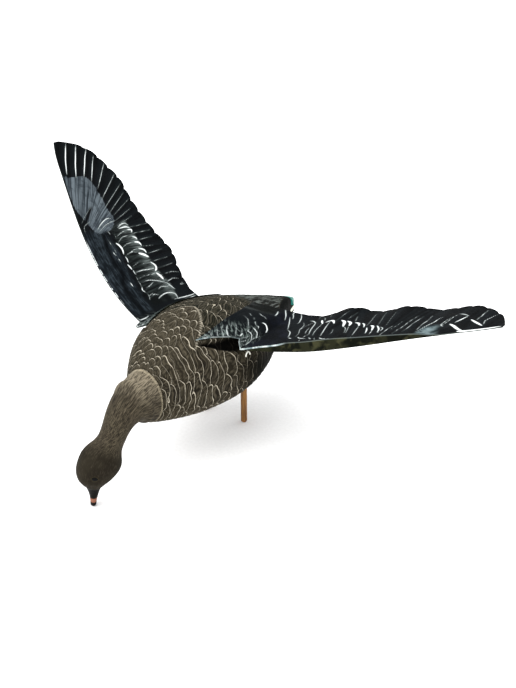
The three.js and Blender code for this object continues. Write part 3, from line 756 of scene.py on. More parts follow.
def line_count(lines, points):
    """Between which of the print's straight lines a point lies: a whole number on each line and even
    steps between two of them."""
    start, end = lines[:, 1:3], lines[:, 3:5]
    direction = unit(end - start)
    offset = points[..., None, :] - start
    beyond = offset[..., 0] * direction[:, 1] - offset[..., 1] * direction[:, 0]
    passed = np.clip((beyond > 0).sum(-1), 1, len(lines) - 1)
    before = np.take_along_axis(beyond, passed[..., None] - 1, -1)[..., 0]
    after = np.take_along_axis(beyond, passed[..., None], -1)[..., 0]
    share = before / np.where(np.abs(before - after) < 1e-6, 1e-6, before - after)
    return passed - 1 + np.clip(share, -1, 2)


def ink_distance(points, curves):
    """Distance in mm from the rim of the nearest drawn line, negative inside it. Each line is a smooth
    curve through its points, is as wide as its pen's weight draws it in the middle, and thins out
    towards both ends."""
    flat = points.reshape(-1, 2)
    nearest = np.full(len(flat), FAR)
    for weight, corners in curves:
        knots = np.arange(len(corners))
        fine = np.linspace(0, knots[-1], STROKE_STEPS * knots[-1] + 1)
        path = np.stack([smooth_table(knots, corners[:, k])(fine) for k in (0, 1)], -1)
        taper = 0.25 + 0.75 * np.sin(math.pi * fine / fine[-1]) ** 0.6
        half = (0.22 * weight + 0.032 * weight**2) * taper
        inside = (flat > path.min(0) - FAR) & (flat < path.max(0) + FAR)
        close = np.flatnonzero(inside.all(-1))
        spot = flat[close]
        for start, step, thin, thick in zip(path[:-1], np.diff(path, axis=0), half[:-1], half[1:]):
            share = np.clip((spot - start) @ step / (step @ step), 0, 1)
            gap = np.linalg.norm(spot - start - share[:, None] * step, axis=-1)
            nearest[close] = np.minimum(nearest[close], gap - thin - (thick - thin) * share)
    return nearest.reshape(points.shape[:-1])


STROKE_STEPS = 7
PANEL_COLUMN_COUNT = 48
WING_COLUMN_COUNT = 276
LIP_ROW_COUNT = 12
WING_ROW_COUNT = 128
# Width that the print is drawn for on the panel
PANEL_WIDTH = 60
CLOTH_THICKNESS = 0.9
HEM_THICKNESS = 1.7
HEM_WIDTH = 4.5
LIP_TURN = math.radians(100)
LIP_ROUND_ROWS = LIP_ROW_COUNT // 2
# What the cloth's mesh carries: mm from a drawn line's rim, straight lines passed, mm behind the front
# edge, out from the root and from the cloth's rim, 1 on the near wing, and shares of the print's parts
# and of painted shade bands
CLOTH_FIELDS = {
    "print": ("ink", "lines", "behind"),
    "zones": ("grey", "plain", "crease"),
    "parts": ("coverts", "mottled", "fold"),
    "spots": ("dark_feather", "rump", "out"),
    "hem": ("rim", "near", "covert_tips"),
}
# 0 on a sheet's upper face and 1 on its lower one
SIDE_FIELD = {"side": ("under",)}


def drawn_lines(w):
    """All of the print's white lines of one wing, in mm out from the root and behind the front edge.
    The far wing's panel has none on its front part."""
    drawn = [(line[0], line[1:].reshape(2, 2)) for line in w["lines"]]
    drawn += [(curve[0], np.array(curve[1:]) * (WING_LENGTH / 100, 1)) for curve in w["curves"]]
    for weight, *corners in PANEL_CURVES:
        across, back = np.array(corners, float).T / 100
        if w["side"] > 0 or back.min() >= 0.3:
            drawn.append((weight, np.stack([(across - 1) * PANEL_WIDTH, back * ROOT_CLOTH], -1)))
    return drawn


def raised_wing_zones(along, behind):
    """Shares of the far wing's own parts: the grey patch, one dark feather in it, painted shade in the
    crease behind the front edge, the mottled leading part, and the coverts with their pale tips."""
    patch_front = smooth_table([0, 0.46, 0.5, 0.62, 0.72, 0.8, 1], [0, 40, 30, 6, 0, 0, 0])(along)
    patch_rear = smooth_table(
        [0, 0.46, 0.52, 0.6, 0.72, 0.79, 0.8, 1], [0, 70, 96, 90, 78, 55, 15, 0],
    )(along)
    grey = fade(-3, 8, behind - patch_front) * fade(6, -10, behind - patch_rear)
    grey = grey * fade(0.46, 0.5, along) * fade(0.83, 0.8, along)
    dark_feather = fade(2, -2, np.abs(behind - 30 - 400 * (along - 0.58)) - 5)
    dark_feather = dark_feather * fade(0.53, 0.55, along) * fade(0.63, 0.61, along)
    crease_place = smooth_table(
        [0, 0.1, 0.2, 0.25, 0.3, 0.4, 0.47, 0.5], [24, 30, 34, 48, 46, 47, 53, 60],
    )(along)
    crease = np.exp(-(((behind - crease_place) / 7.5) ** 2))
    coverts_start = smooth_table(
        [0, 0.09, 0.14, 0.2, 0.3, 0.38, 0.42, 0.5], [64, 67, 70, 74, 79, 82, 78, 70],
    )(along)
    coverts_end = smooth_table(
        [0, 0.06, 0.12, 0.2, 0.3, 0.4, 0.5, 1], [136, 138, 145, 139, 137, 133, 124, 110],
    )(along)
    coverts = fade(-2, 2, behind - coverts_start) * fade(4, -4, behind - coverts_end)
    coverts = coverts * fade(0.04, 0.06, along) * fade(0.52, 0.49, along)
    mottled = fade(6, -6, behind - coverts_start + 12)
    return {
        "grey": grey,
        "dark_feather": dark_feather,
        "crease": crease * fade(0.01, 0.04, along) * fade(0.5, 0.46, along),
        "mottled": mottled * fade(0.02, 0.05, along) * fade(0.52, 0.48, along),
        "coverts": coverts,
        "covert_tips": coverts * fade(34, 4, coverts_end - behind),
    }


def level_wing_zones(along, behind):
    """Shares of the near wing's own parts: the plain slate feathers next to the body, the pale fold
    near the tip and a band of painted shadow along its front."""
    plain_end = smooth_table([0, 0.07, 0.1, 0.145, 0.16], [165, 108, 90, 62, 40])(along)
    plain = fade(-3, 3, plain_end - behind) * fade(0.165, 0.15, along)
    crease = fade(0.66, 0.69, along) * fade(0.83, 0.79, along) * fade(36, 31, behind)
    fold = fade(0.665, 0.69, along) * fade(0.77, 0.72, along + 0.0006 * (behind - 33))
    return {
        "plain": plain * fade(-0.28, -0.1, along - 0.1 + 0.3 * fade(90, 120, behind)),
        "fold": fold * fade(66, 46, behind),
        "crease": crease,
    }


def wing_fields(w, along, behind, curl, chord, rim):
    """What the print needs at each point: its white lines, its feathers and its zones. The curled
    lip, where curl is 1, stays free of white lines."""
    out = np.where(along < 0, along * PANEL_WIDTH, along * WING_LENGTH)
    place = np.stack([out, behind], -1)
    far = w["side"] < 0
    zones = raised_wing_zones(along, behind) if far else level_wing_zones(along, behind)
    return carried(CLOTH_FIELDS, {
        "ink": ink_distance(place, drawn_lines(w)) + 3 * curl,
        "lines": line_count(w["lines"], place),
        "behind": behind,
        "out": out,
        "rim": rim,
        "near": 0 if far else 1,
        "rump": fade(0.72, 0.8, behind / chord) * fade(-0.22, -0.45, along),
        **zones,
    })


def lip_points(edge, rearward, fold, lip):
    """Rows of the curled lip from the front edge outwards: first an arc of radius fold through
    LIP_TURN, then straight on, up to the lip's height."""
    outward = unit(np.gradient(edge, axis=0))
    upward = unit(np.cross(outward, rearward))
    turn = np.linspace(0, LIP_TURN, LIP_ROUND_ROWS + 1)[1:]
    straight = np.linspace(0, 1, LIP_ROW_COUNT - LIP_ROUND_ROWS + 1)[1:]
    run = np.maximum(lip - fold, 0.2)[:, None] * straight
    radius = fold[:, None]
    ahead = [radius * np.sin(turn), radius * math.sin(LIP_TURN) + run * math.cos(LIP_TURN)]
    above = [radius * (1 - np.cos(turn)), radius * (1 - math.cos(LIP_TURN)) + run * math.sin(LIP_TURN)]
    ahead = np.concatenate(ahead, 1)[..., None]
    above = np.concatenate(above, 1)[..., None]
    return edge[:, None] - rearward[:, None] * ahead + upward[:, None] * above


def make_wing(name):
    """One cloth: the panel on the back, the open wing, and the curled lip along its front edge."""
    w = WINGS[name]
    inner = np.linspace(-1, 0, PANEL_COLUMN_COUNT, endpoint=False)
    along = np.concatenate([inner, np.linspace(0, 1, WING_COLUMN_COUNT)])
    out = np.maximum(along, 0)
    lip = w["lip"](out) * fade(-0.25, 0.0, along)
    # The lip rolls over with about a third of its height as its radius
    fold = np.clip(0.32 * lip, 0.3, 7)
    chord = np.where(along < 0, ROOT_CLOTH, wing_chord(out))[:, None]
    first = fold[:, None] / chord
    back = first + (1 - first) * np.linspace(0, 1, WING_ROW_COUNT)
    along = along[:, None]
    surface = np.where(
        (along < 0)[..., None],
        panel(w, 1 + np.minimum(along, 0), back),
        outer_wing(w, np.maximum(along, 0), back),
    )
    rearward = unit(surface[:, 1] - surface[:, 0])
    lip_rows = lip_points(surface[:, 0], rearward, fold, lip)
    middle = np.concatenate([lip_rows[:, ::-1], surface], 1)
    steps = np.cross(np.diff(middle, axis=0)[:, :-1], np.diff(middle, axis=1)[:-1])
    flat_area = np.linalg.norm(steps, axis=-1).sum() / 1e6
    on_lip = np.zeros((len(along), LIP_ROW_COUNT))
    behind = np.concatenate([on_lip, back * chord], 1)
    curl = np.concatenate([on_lip + 1, 0 * back], 1)
    # The lip's curl is 1.15 times as long as it is high
    rim_share = np.linspace(0, 1, LIP_ROW_COUNT, endpoint=False)
    rim_share = np.concatenate([rim_share, np.ones(WING_ROW_COUNT)])
    rim = np.maximum(1.15 * lip, 0.8)[:, None] * rim_share + behind
    fields = wing_fields(w, along + 0 * behind, behind, curl, chord, rim)
    to_edge = np.minimum(np.minimum(behind, chord - behind), (1 - along) * WING_LENGTH)
    to_edge = np.minimum(to_edge, (along + 1) * PANEL_WIDTH)
    hem = fade(HEM_WIDTH, HEM_WIDTH - 1, to_edge)
    thickness = CLOTH_THICKNESS + (HEM_THICKNESS - CLOTH_THICKNESS) * hem
    creases = 0.6 * ripple(middle, 42, 11) * fade(0, 12, to_edge)
    middle = middle + grid_normals(middle) * creases[..., None]
    middle[..., 0] *= w["side"]
    return sheet_mesh("wing_cloth_" + name, middle, thickness, w["side"], fields), flat_area


# Pegs and ties

PEG_SPACING = 89
PEG_Y = 0.507 * BODY_LENGTH
PEG_COLUMN_COUNT = 56
# Radius and height above the ground, with a rounded foot and top
PEG_PROFILE = [
    [3.4, 0], [4.2, 0.15], [4.5, 0.5], [5.3, 1.4], [5.8, 2.4], [6, 3.6], [6, 20], [6, 60], [6, 110],
    [5.7, 111.7], [3, 112],
]


def make_peg(name, side):
    """A turned bar: the profile carried round its axis, a little uneven as whittled wood is."""
    radius, height = np.array(PEG_PROFILE, float).T
    fine = np.concatenate([np.linspace(0, 3.6, 14), np.linspace(5, height[-1], 60)])[:, None]
    angle = np.linspace(0, 2 * math.pi, PEG_COLUMN_COUNT, endpoint=False)[None, :]
    r = np.interp(fine, height, radius)
    circle = np.stack([r * np.cos(angle), r * np.sin(angle), fine + 0 * angle], -1)
    uneven = 1 + 0.008 * ripple(circle, 14, 21 + side) * fade(4, 8, fine)
    circle[..., :2] *= np.minimum(uneven, 1)[..., None]
    circle[..., 0] += side * PEG_SPACING / 2
    circle[..., 1] += PEG_Y
    return tube_mesh("peg_wood_" + name, circle, {})


# The tie's cord in mm, its ends' lean in degrees, and its place as shares of the wing and its chord
TIE_DIAMETER = 2.4
TIE_LENGTH = 11.5
TIE_SPREAD = 36
TIE_ALONG = 0.033
TIE_BEHIND = 0.03
TIE_COLUMN_COUNT = 18


def cord_rings(path, radius, turns):
    """Circles carried along the path, swollen where the three twisted strands lie and thinned at
    both ends."""
    forward = unit(np.gradient(path, axis=0))
    side = unit(np.cross(forward, [0.3, 0.2, 0.93]))
    up = np.cross(side, forward)
    angle = np.linspace(0, 2 * math.pi, TIE_COLUMN_COUNT, endpoint=False)[None, :]
    run = np.linspace(0, 1, len(path))[:, None]
    swell = radius * (0.9 + 0.1 * np.cos(3 * (angle + 2 * math.pi * turns * run)))
    ends = np.sqrt(np.clip(np.minimum(run, 1 - run) * 14, 0.1, 1))
    across = side[:, None] * (swell * ends * np.cos(angle))[..., None]
    return path[:, None] + across + up[:, None] * (swell * ends * np.sin(angle))[..., None]


def make_tie(name, side):
    """Two short cord ends hanging from a small overhand knot under the wing's front edge."""
    w = WINGS[name]
    x, y, z = outer_wing(w, np.array(TIE_ALONG), np.array(TIE_BEHIND))
    # As for the solid, the cloth's slope is taken 10 degrees steeper than at the wing's root
    slope = math.radians(w["rise"][0] + 10)
    knot_radius = TIE_DIAMETER * 0.85
    drop = (CAD_CLOTH_THICKNESS / 2 + knot_radius) / math.cos(slope) + PIECE_GAP
    knot = np.array([side * x, y, z - drop])
    loop = 2 * math.pi * np.linspace(0, 1, 60)
    across = 1.15 * np.cos(loop) * np.cos(loop / 2)
    curl = np.stack([1.15 * np.sin(loop), across, 0.8 * np.sin(2 * loop)], -1)
    shells = [(knot + curl, TIE_DIAMETER * 0.42, 7)]
    run = np.linspace(0, 1, 30)[:, None]
    for lean in (1, -1):
        slant = math.radians(TIE_SPREAD) * lean
        straight = np.array([0, math.sin(slant), -math.cos(slant)]) * (TIE_LENGTH - 0.6)
        bow = lean * np.sin(math.pi * run) * (0.5, 0.8, 0)
        shells.append((knot + run * straight + bow, TIE_DIAMETER / 2, 4))
    points, groups = np.zeros((0, 3)), []
    for path, radius, turns in shells:
        shell_points, faces = tube_shell(cord_rings(path, radius, turns), len(points))
        points = np.concatenate([points, shell_points])
        groups += faces
    return add_mesh("tie_cord_" + name, points, groups, {})


# Materials


def colour(code):
    """sRGB hex to linear red, green, blue and full opacity."""
    parts = [int(code[i:i + 2], 16) / 255 for i in (1, 3, 5)]
    return [p / 12.92 if p <= 0.04045 else ((p + 0.055) / 1.055) ** 2.4 for p in parts] + [1.0]


def per(millimetres):
    """Texture scale, in repeats per metre, for a detail of this size."""
    return 1000 / millimetres


# Words for the nodes that the materials are made of: kind, settings, places of the inputs, output
NODE_WORDS = {
    "plus": ("Math", {"operation": "ADD"}, (0, 1), 0),
    "less": ("Math", {"operation": "SUBTRACT"}, (0, 1), 0),
    "times": ("Math", {"operation": "MULTIPLY"}, (0, 1), 0),
    "higher": ("Math", {"operation": "MAXIMUM"}, (0, 1), 0),
    "fold": ("Math", {"operation": "PINGPONG"}, (0, 1), 0),
    "floor": ("Math", {"operation": "FLOOR"}, (0,), 0),
    "fraction": ("Math", {"operation": "FRACT"}, (0,), 0),
    "root": ("Math", {"operation": "SQRT"}, (0,), 0),
    "cosine": ("Math", {"operation": "COSINE"}, (0,), 0),
    "sine": ("Math", {"operation": "SINE"}, (0,), 0),
    "ease": ("MapRange", {"interpolation_type": "SMOOTHSTEP"}, (0, 1, 2, 3, 4), 0),
    "over": ("Mix", {"data_type": "RGBA"}, (0, 6, 7), 2),
    "noise": ("TexNoise", {}, ("Vector", "Scale", "Detail", "Distortion"), 0),
    "threads": ("TexWave", {}, ("Vector", "Scale"), 1),
    "values": ("Attribute", {}, (), 1),
    "split": ("SeparateXYZ", {}, (0,), slice(3)),
    "join": ("CombineXYZ", {}, (0, 1, 2), 0),
    "place": ("TexCoord", {}, (), 3),
    "stretch": ("Mapping", {}, ("Vector", "Scale"), 0),
    "bump": ("Bump", {}, ("Height", "Strength", "Distance"), 0),
    "surface": (
        "BsdfPrincipled", {}, ("Base Color", "Roughness", "Normal", "IOR", "Specular IOR Level"), 0,
    ),
    "output": ("OutputMaterial", {}, ("Surface",), slice(0)),
}


def add(tree, word, *inputs, **settings):
    """Add one node with its settings, set or link its inputs and give back its output. An input
    written as hex is a colour."""
    kind, fixed, places, output = NODE_WORDS[word]
    node = tree.nodes.new("ShaderNode" + kind)
    for name, value in {**fixed, **settings}.items():
        setattr(node, name, value)
    for place, value in zip(places, inputs):
        if isinstance(value, bpy.types.NodeSocket):
            tree.links.new(value, node.inputs[place])
        else:
            node.inputs[place].default_value = colour(value) if isinstance(value, str) else value
    return node.outputs[output]


def new_material(name, table):
    """An empty material, the function that adds nodes to it, and the values that the table says its
    mesh carries."""
    material = bpy.data.materials.new(name)
    material.use_nodes = True
    material.node_tree.nodes.clear()
    put = partial(add, material.node_tree)
    values = SimpleNamespace()
    for field, names in table.items():
        for name, value in zip(names, put("split", put("values", attribute_name=field))):
            setattr(values, name, value)
    return material, put, values


def feather_edges(put, rows, files, width):
    """Pale edge of each feather: how close a point lies to its rounded edge, 1 on the line itself,
    how far along its feather it lies, and how far across. The same shape as feather_shape()."""
    row = put("floor", rows)
    across = put("plus", files, put("times", put("fold", row, 1.0), 0.5))
    across = put("less", put("fraction", across), 0.5)
    square = put("times", put("times", across, across), 4.0)
    edge = put("times", put("root", put("less", 1.0, square)), FEATHER_ROUNDING)
    back = put("fraction", put("less", put("fraction", rows), edge))
    off = put("fold", back, 0.5)
    return put("ease", off, put("times", width, 0.4), width, 1.0, 0.0), back, across


# Pale beige of the brushed feather edges
EDGE_PAINT = "#b8b09e"


def body_ground(put, skin, patch, streak, back, painted_wing_shade):
    """Olive brown, paler under the chest and on the cape, darker on the back and on the rear belly,
    with painted shade below the wing's rear half and at the root of each feather."""
    # Painted shade at the root of each feather, under the feather before it, but not on the tail
    feather_root_shade = put("times", put("ease", back, 0.42, 0.0), 0.6)
    ground = put("over", put("ease", patch, 0.35, 0.65), "#1b1813", "#27231b")
    for share, tone in (
        (put("ease", skin.degrees, -20.0, -60.0), "#322d23"),
        (put("ease", skin.degrees, 35.0, 60.0), "#151610"),
        (put("times", skin.cape, 0.85), "#2c2820"),
        (put("times", put("ease", streak, 0.42, 0.68), 0.45), "#655e4f"),
        (skin.belly, "#070703"),
        (put("times", put("times", skin.belly, put("ease", streak, 0.45, 0.72)), 0.5), "#181710"),
        (put("times", feather_root_shade, put("ease", skin.tail, 0.0, 1.0, 1.0, 0.0)), "#0b0b07"),
        (put("times", painted_wing_shade, 0.8), "#090907"),
    ):
        ground = put("over", share, ground, tone)
    return ground


def tail_paint(put, skin, painted, streak):
    """Blue grey rump with long pale streaks, near-black tail, and on its end a cream band below the
    cap and teal beside the cap, down to a line that slants forward. The slots are painted near black
    inside as shade."""
    rump_place = put("join", put("times", skin.back_mm, 0.025), put("times", skin.degrees, 0.26), 0.0)
    rump_streak = put("noise", rump_place, 1.0, 2.0, 0.4)
    grey = put("over", put("ease", rump_streak, 0.46, 0.62), "#0e1111", "#535855")
    cream = put("times", put("ease", skin.height, 133.5, 135.5), put("ease", skin.height, 144.5, 143.0))
    slant = put("plus", CAP_FLOOR, put("times", put("less", 472.0, skin.back_mm), 0.47))
    beside_cap = put("ease", put("less", skin.height, slant), 0.0, 0.8)
    for share, tone in (
        (put("times", skin.rump, 0.85), grey),
        (skin.tail, put("over", put("ease", streak, 0.55, 0.7), "#040605", "#0f1211")),
        (put("times", put("ease", skin.back_mm, 448.0, 451.0), cream), "#d9dccb"),
        (put("times", beside_cap, put("ease", skin.back_mm, 452.0, 454.0)), "#0b5f55"),
        # Painted shade: near black inside the slot's recess
        (put("ease", skin.slot, 0.15, 1.1), "#020202"),
    ):
        painted = put("over", share, painted, tone)
    return painted


def painted_body():
    """Moulded polyethylene under flat water-based paint: no gloss, fine orange peel, pale feather
    edges brushed by hand over olive brown, darker on the rear belly, blue grey on the rump."""
    material, put, skin = new_material("matt_decoy_paint_on_moulded_polyethylene", BODY_FIELDS)
    place = put("place")
    patch = put("noise", place, per(38), 3.0)
    fine = put("noise", place, per(3.2), 4.0)
    streak = put("noise", put("join", skin.rows, put("times", skin.files, 7.0), 0.0), 1.6, 3.0)
    # The brush wavers by up to a third of a row, and its line is 0.5 to 2 mm wide
    wobble = put("times", put("less", put("noise", place, per(24), 1.0), 0.5), 0.6)
    width = put("ease", put("noise", place, per(16), 1.0), 0.35, 0.65, 0.035, 0.07)
    width = put("plus", width, put("times", skin.cape, 0.022))
    line, back, across = feather_edges(put, put("plus", skin.rows, wobble), skin.files, width)
    # Painted shade below the wing's rear half: the ground darkens and the pale edges dim
    painted_wing_shade = put("times", put("ease", skin.back_mm, 215.0, 300.0),
                    put("ease", skin.degrees, -78.0, -40.0))
    painted_wing_shade = put("times", painted_wing_shade, put("ease", skin.degrees, 36.0, 12.0))
    # On the back the brush paled only the upper half of each edge
    lower = put("times", put("ease", across, -0.12, 0.2), put("ease", skin.degrees, 30.0, 50.0))
    for share in (
        put("ease", fine, 0.3, 0.55, 0.55, 1.0),
        put("ease", skin.belly, 0.0, 1.0, 0.95, 0.14),
        put("less", 1.0, put("times", painted_wing_shade, 0.45)),
        put("ease", skin.back_mm, 150.0, 260.0, 1.0, 0.6),
        put("less", 1.0, put("times", lower, 0.75)),
    ):
        line = put("times", line, share)
    painted = put("over", line, body_ground(put, skin, patch, streak, back, painted_wing_shade), EDGE_PAINT)
    painted = put("over", put("times", skin.cape_line, 0.9), painted, EDGE_PAINT)
    painted = tail_paint(put, skin, painted, streak)
    bump = put("bump", put("plus", fine, put("times", streak, 0.8)), 0.3, 0.0007)
    rough = put("ease", patch, 0.3, 0.7, 0.66, 0.82)
    put("output", put("surface", painted, rough, bump, 1.5, 0.015))
    return material


def painted_neck():
    """The same paint on the neck in fine hair strokes along its flow, smooth and darker on the head,
    with a satin black bill, its salmon band and glossy black eyes."""
    material, put, skin = new_material("matt_decoy_paint_on_moulded_polyethylene_neck", NECK_FIELDS)
    place = put("place")
    # Hair strokes about 1.5 mm wide and 8 mm long, laid down the neck
    round_neck = [put("times", put(wave, skin.around), 25.0) for wave in ("cosine", "sine")]
    strokes = put("noise", put("join", *round_neck, put("times", skin.along, 2.3)), 1.0, 2.0, 0.6)
    patch = put("noise", place, per(30), 3.0)
    fine = put("noise", place, per(2.4), 4.0)
    ground = put("over", put("ease", patch, 0.35, 0.65), "#393329", "#423c30")
    # Painted highlight on the top of the neck where it leaves the body, and a painted highlight ring
    # beside the seam
    sunlit = put("times", put("ease", skin.along, 2.3, 0.8), put("ease", skin.crown, -0.1, 0.9))
    seam_highlight = put("times", put("ease", skin.along, -0.01, 0.03), put("ease", skin.along, 0.24, 0.12))
    head = put("over", put("ease", patch, 0.4, 0.6), "#1c1811", "#231f17")
    head = put("over", put("times", put("ease", strokes, 0.54, 0.66), 0.2), head, "#4d463a")
    salmon = put("times", put("ease", skin.height, 9.6, 10.4), put("ease", skin.height, 18.6, 17.6))
    painted = put("over", put("ease", strokes, 0.42, 0.53), "#211d16", ground)
    for share, tone in (
        (put("times", put("ease", strokes, 0.56, 0.68), 0.35), "#6a6150"),
        (put("times", sunlit, put("ease", strokes, 0.4, 0.6, 0.15, 0.7)), "#8d8370"),
        (put("times", seam_highlight, put("ease", fine, 0.35, 0.6, 0.05, 0.6)), "#a0967f"),
        (put("ease", skin.along, 6.8, 9.3), head),
        (skin.bill, "#0a0806"),
        (salmon, "#805442"),
        (put("ease", skin.eye, 1.35, 1.15), "#292416"),
        (put("ease", skin.eye, 1.03, 0.95), "#050505"),
    ):
        painted = put("over", share, painted, tone)
    smooth = put("higher", put("ease", skin.eye, 1.05, 0.95), put("times", skin.bill, 0.4))
    rough = put("ease", smooth, 0.0, 1.0, 0.72, 0.12)
    relief = put("plus", put("times", strokes, put("ease", skin.along, 7.3, 9.3, 1.0, 0.3)), fine)
    put("output", put("surface", painted, rough, put("bump", relief, 0.4, 0.0008), 1.5, 0.06))
    return material


def feather_tones(put, cloth, place, cloud):
    """The upper print below its white lines: navy black, slate feathers next to the body, streaked
    coverts, a mottled leading part, the grey patch, the pale fold, the panel's rump feathers, and bands
    of painted shade."""
    barbs_place = put("join", put("times", cloth.lines, 6.0), put("times", cloth.behind, 0.03),
                      put("times", cloth.out, 0.01))
    barbs = put("noise", barbs_place, 1.0, 4.0)
    # Each long feather is a little lighter beside its white edge
    slate = put("over", put("ease", barbs, 0.35, 0.7), "#040506", "#090c0e")
    vane = put("times", put("ease", put("fraction", cloth.lines), 0.75, 0.05), 0.4)
    slate = put("over", vane, slate, "#12171a")
    patch = put("noise", place, per(30), 3.0)
    navy = put("over", put("ease", patch, 0.4, 0.65), "#06080b", "#0d1017")
    covert_tone = put("over", put("ease", barbs, 0.4, 0.68), "#090c0c", "#242a29")
    scratch_place = put("join", put("times", cloth.out, 0.035), put("times", cloth.behind, 0.3), 0.0)
    scratch = put("plus", put("noise", scratch_place, 1.0, 4.0, 1.5), put("times", cloud, 0.5))
    lead = put("over", put("ease", scratch, 0.66, 0.95), "#0c1115", "#2f373d")
    # The grey patch ends in ragged feather tips
    grey = put("plus", cloth.grey, put("times", put("less", barbs, 0.5), 1.1))
    grey = put("ease", grey, 0.4, 0.62)
    pale = put("over", put("ease", barbs, 0.32, 0.68), "#20262b", "#5b646a")
    fold_tone = put("over", put("ease", cloud, 0.4, 0.62), "#303e42", "#7f9194")
    rump_tone = put("over", put("ease", barbs, 0.42, 0.66), "#090b08", "#424746")
    # Fine pale barbs between the drawn lines, close together beside the panel's front edge
    slanted = put("plus", cloth.out, put("times", cloth.behind, 0.48))
    barb_place = put("join", put("times", cloth.behind, 0.06), put("times", slanted, 0.4), 0.0)
    barb_line = put("ease", put("noise", barb_place, 1.0, 2.0, 0.6), 0.5, 0.62)
    beside = put("times", put("ease", cloth.out, 14.0, -4.0), put("ease", cloth.behind, 85.0, 25.0))
    # Each covert pales towards its white tip
    tip_light = put("times", put("ease", cloth.ink, 11.0, -1.0), put("ease", barbs, 0.3, 0.6))
    ground = put("over", cloth.plain, slate, navy)
    for share, tone in (
        (put("times", cloth.coverts, 0.9), covert_tone),
        (put("times", cloth.mottled, 0.9), lead),
        (grey, pale),
        (put("times", put("times", grey, put("ease", cloud, 0.5, 0.66)), 0.6), "#22282d"),
        (cloth.dark_feather, "#06080a"),
        # Painted shade: dark bands in the far wing's crease and along the near wing's front by the fold
        (put("times", cloth.crease, 0.92), "#020406"),
        (put("times", cloth.fold, 0.65), fold_tone),
        (put("times", cloth.rump, 0.7), rump_tone),
        (put("times", put("times", beside, barb_line), 0.75), "#68736f"),
        (put("times", put("times", cloth.covert_tips, tip_light), 0.45), "#8b9593"),
    ):
        ground = put("over", share, ground, tone)
    return ground


def camouflage(put, cloth, place, piping, piping_tone):
    """Olive camouflage of the underside: leaves 18 and 34 mm across, with the rim's pale edge."""
    leaves = put("ease", put("noise", place, per(34), 3.0, 0.4), 0.42, 0.58)
    twigs = put("ease", put("noise", place, per(18), 3.0, 0.5), 0.5, 0.68)
    camo = put("over", leaves, "#0d0f0a", "#212217")
    for share, tone in (
        (put("times", twigs, 0.75), "#3c3c29"),
        (put("times", put("ease", cloth.rim, 1.5, 0.7), 0.25), "#8a9694"),
        (put("times", put("ease", cloth.rim, 2.4, 1.6), piping), piping_tone),
    ):
        camo = put("over", share, camo, tone)
    return camo


def printed_cloth():
    """Polyester taffeta with a photographic feather print on top and olive camouflage beneath: matt,
    because its 0.5 mm weave, drawn here at 7.5 mm so that it shows, breaks up the light."""
    material, put, cloth = new_material("printed_polyester_taffeta", {**CLOTH_FIELDS, **SIDE_FIELD})
    place = put("place")
    fine = put("noise", place, per(3.0), 4.0)
    cloud = put("noise", place, per(17), 5.0, 0.6)
    # The white lines break up a little, as a print on woven cloth does, and have a dim rim
    drawn = put("plus", cloth.ink, put("times", put("less", fine, 0.5), 0.8))
    drawn = put("times", put("ease", drawn, 0.35, -0.45), put("ease", fine, 0.28, 0.5, 0.7, 1.0))
    white = put("over", put("ease", cloth.ink, 0.0, -1.2), "#b4bcbb", "#f4f7f6")
    # Pale piping along the near wing's front edge as far as 90 mm out, dimmer beside the slot
    slot = put("times", put("ease", cloth.out, -52.0, -44.0), put("ease", cloth.out, -2.0, -4.0))
    piping = put("times", put("times", put("ease", cloth.rim, 3.4, 2.4), cloth.near),
                 put("ease", cloth.out, 92.0, 78.0))
    piping = put("times", piping, put("less", 1.0, put("times", slot, 0.6)))
    piping_tone = put("over", put("ease", cloud, 0.4, 0.6), "#66777a", "#c0cac9")
    # Broken white hem along the far wing's front edge
    hem = put("times", put("ease", cloth.out, 35.0, 70.0), put("ease", cloth.out, 195.0, 165.0))
    for share in (
        put("ease", cloth.rim, 3.4, 2.4),
        put("less", 1.0, cloth.near),
        put("ease", put("noise", place, per(7), 2.0), 0.42, 0.55),
    ):
        hem = put("times", hem, share)
    printed = feather_tones(put, cloth, place, cloud)
    for share, tone in (
        (put("ease", cloth.ink, 2.4, 0.0, 0.0, 0.22), "#474f4e"),
        (drawn, white),
        (put("times", piping, 0.9), piping_tone),
        (put("times", hem, 0.95), "#dfe6e6"),
        (cloth.under, camouflage(put, cloth, place, piping, piping_tone)),
    ):
        printed = put("over", share, printed, tone)
    # A wave texture turns by 20 radians in its scale's unit
    weave_scale = per(7.54) * 2 * math.pi / 20
    threads = [put("threads", place, weave_scale, bands_direction=way) for way in ("X", "Y")]
    relief = put("plus", put("times", put("times", *threads), 0.12), put("noise", place, per(16), 3.0))
    rough = put("ease", fine, 0.3, 0.7, 0.66, 0.82)
    put("output", put("surface", printed, rough, put("bump", relief, 0.3, 0.0015), 1.5, 0.02))
    return material


def oiled_pine():
    """Pine dowel under orange oil: rings of summer wood about 2.5 mm apart run up the peg."""
    material, put, _ = new_material("oiled_pine_dowel", {})
    place = put("stretch", put("place"), (1.0, 1.0, 0.06))
    rings = put("noise", place, per(2.5), 3.0)
    pores = put("noise", place, per(0.7), 2.0)
    wood = put("over", put("ease", rings, 0.35, 0.65), "#603a11", "#875c26")
    wood = put("over", put("times", put("ease", pores, 0.58, 0.7), 0.5), wood, "#42270d")
    rough = put("ease", rings, 0.3, 0.7, 0.42, 0.6)
    put("output", put("surface", wood, rough, put("bump", pores, 0.3, 0.0004), 1.47, 0.4))
    return material


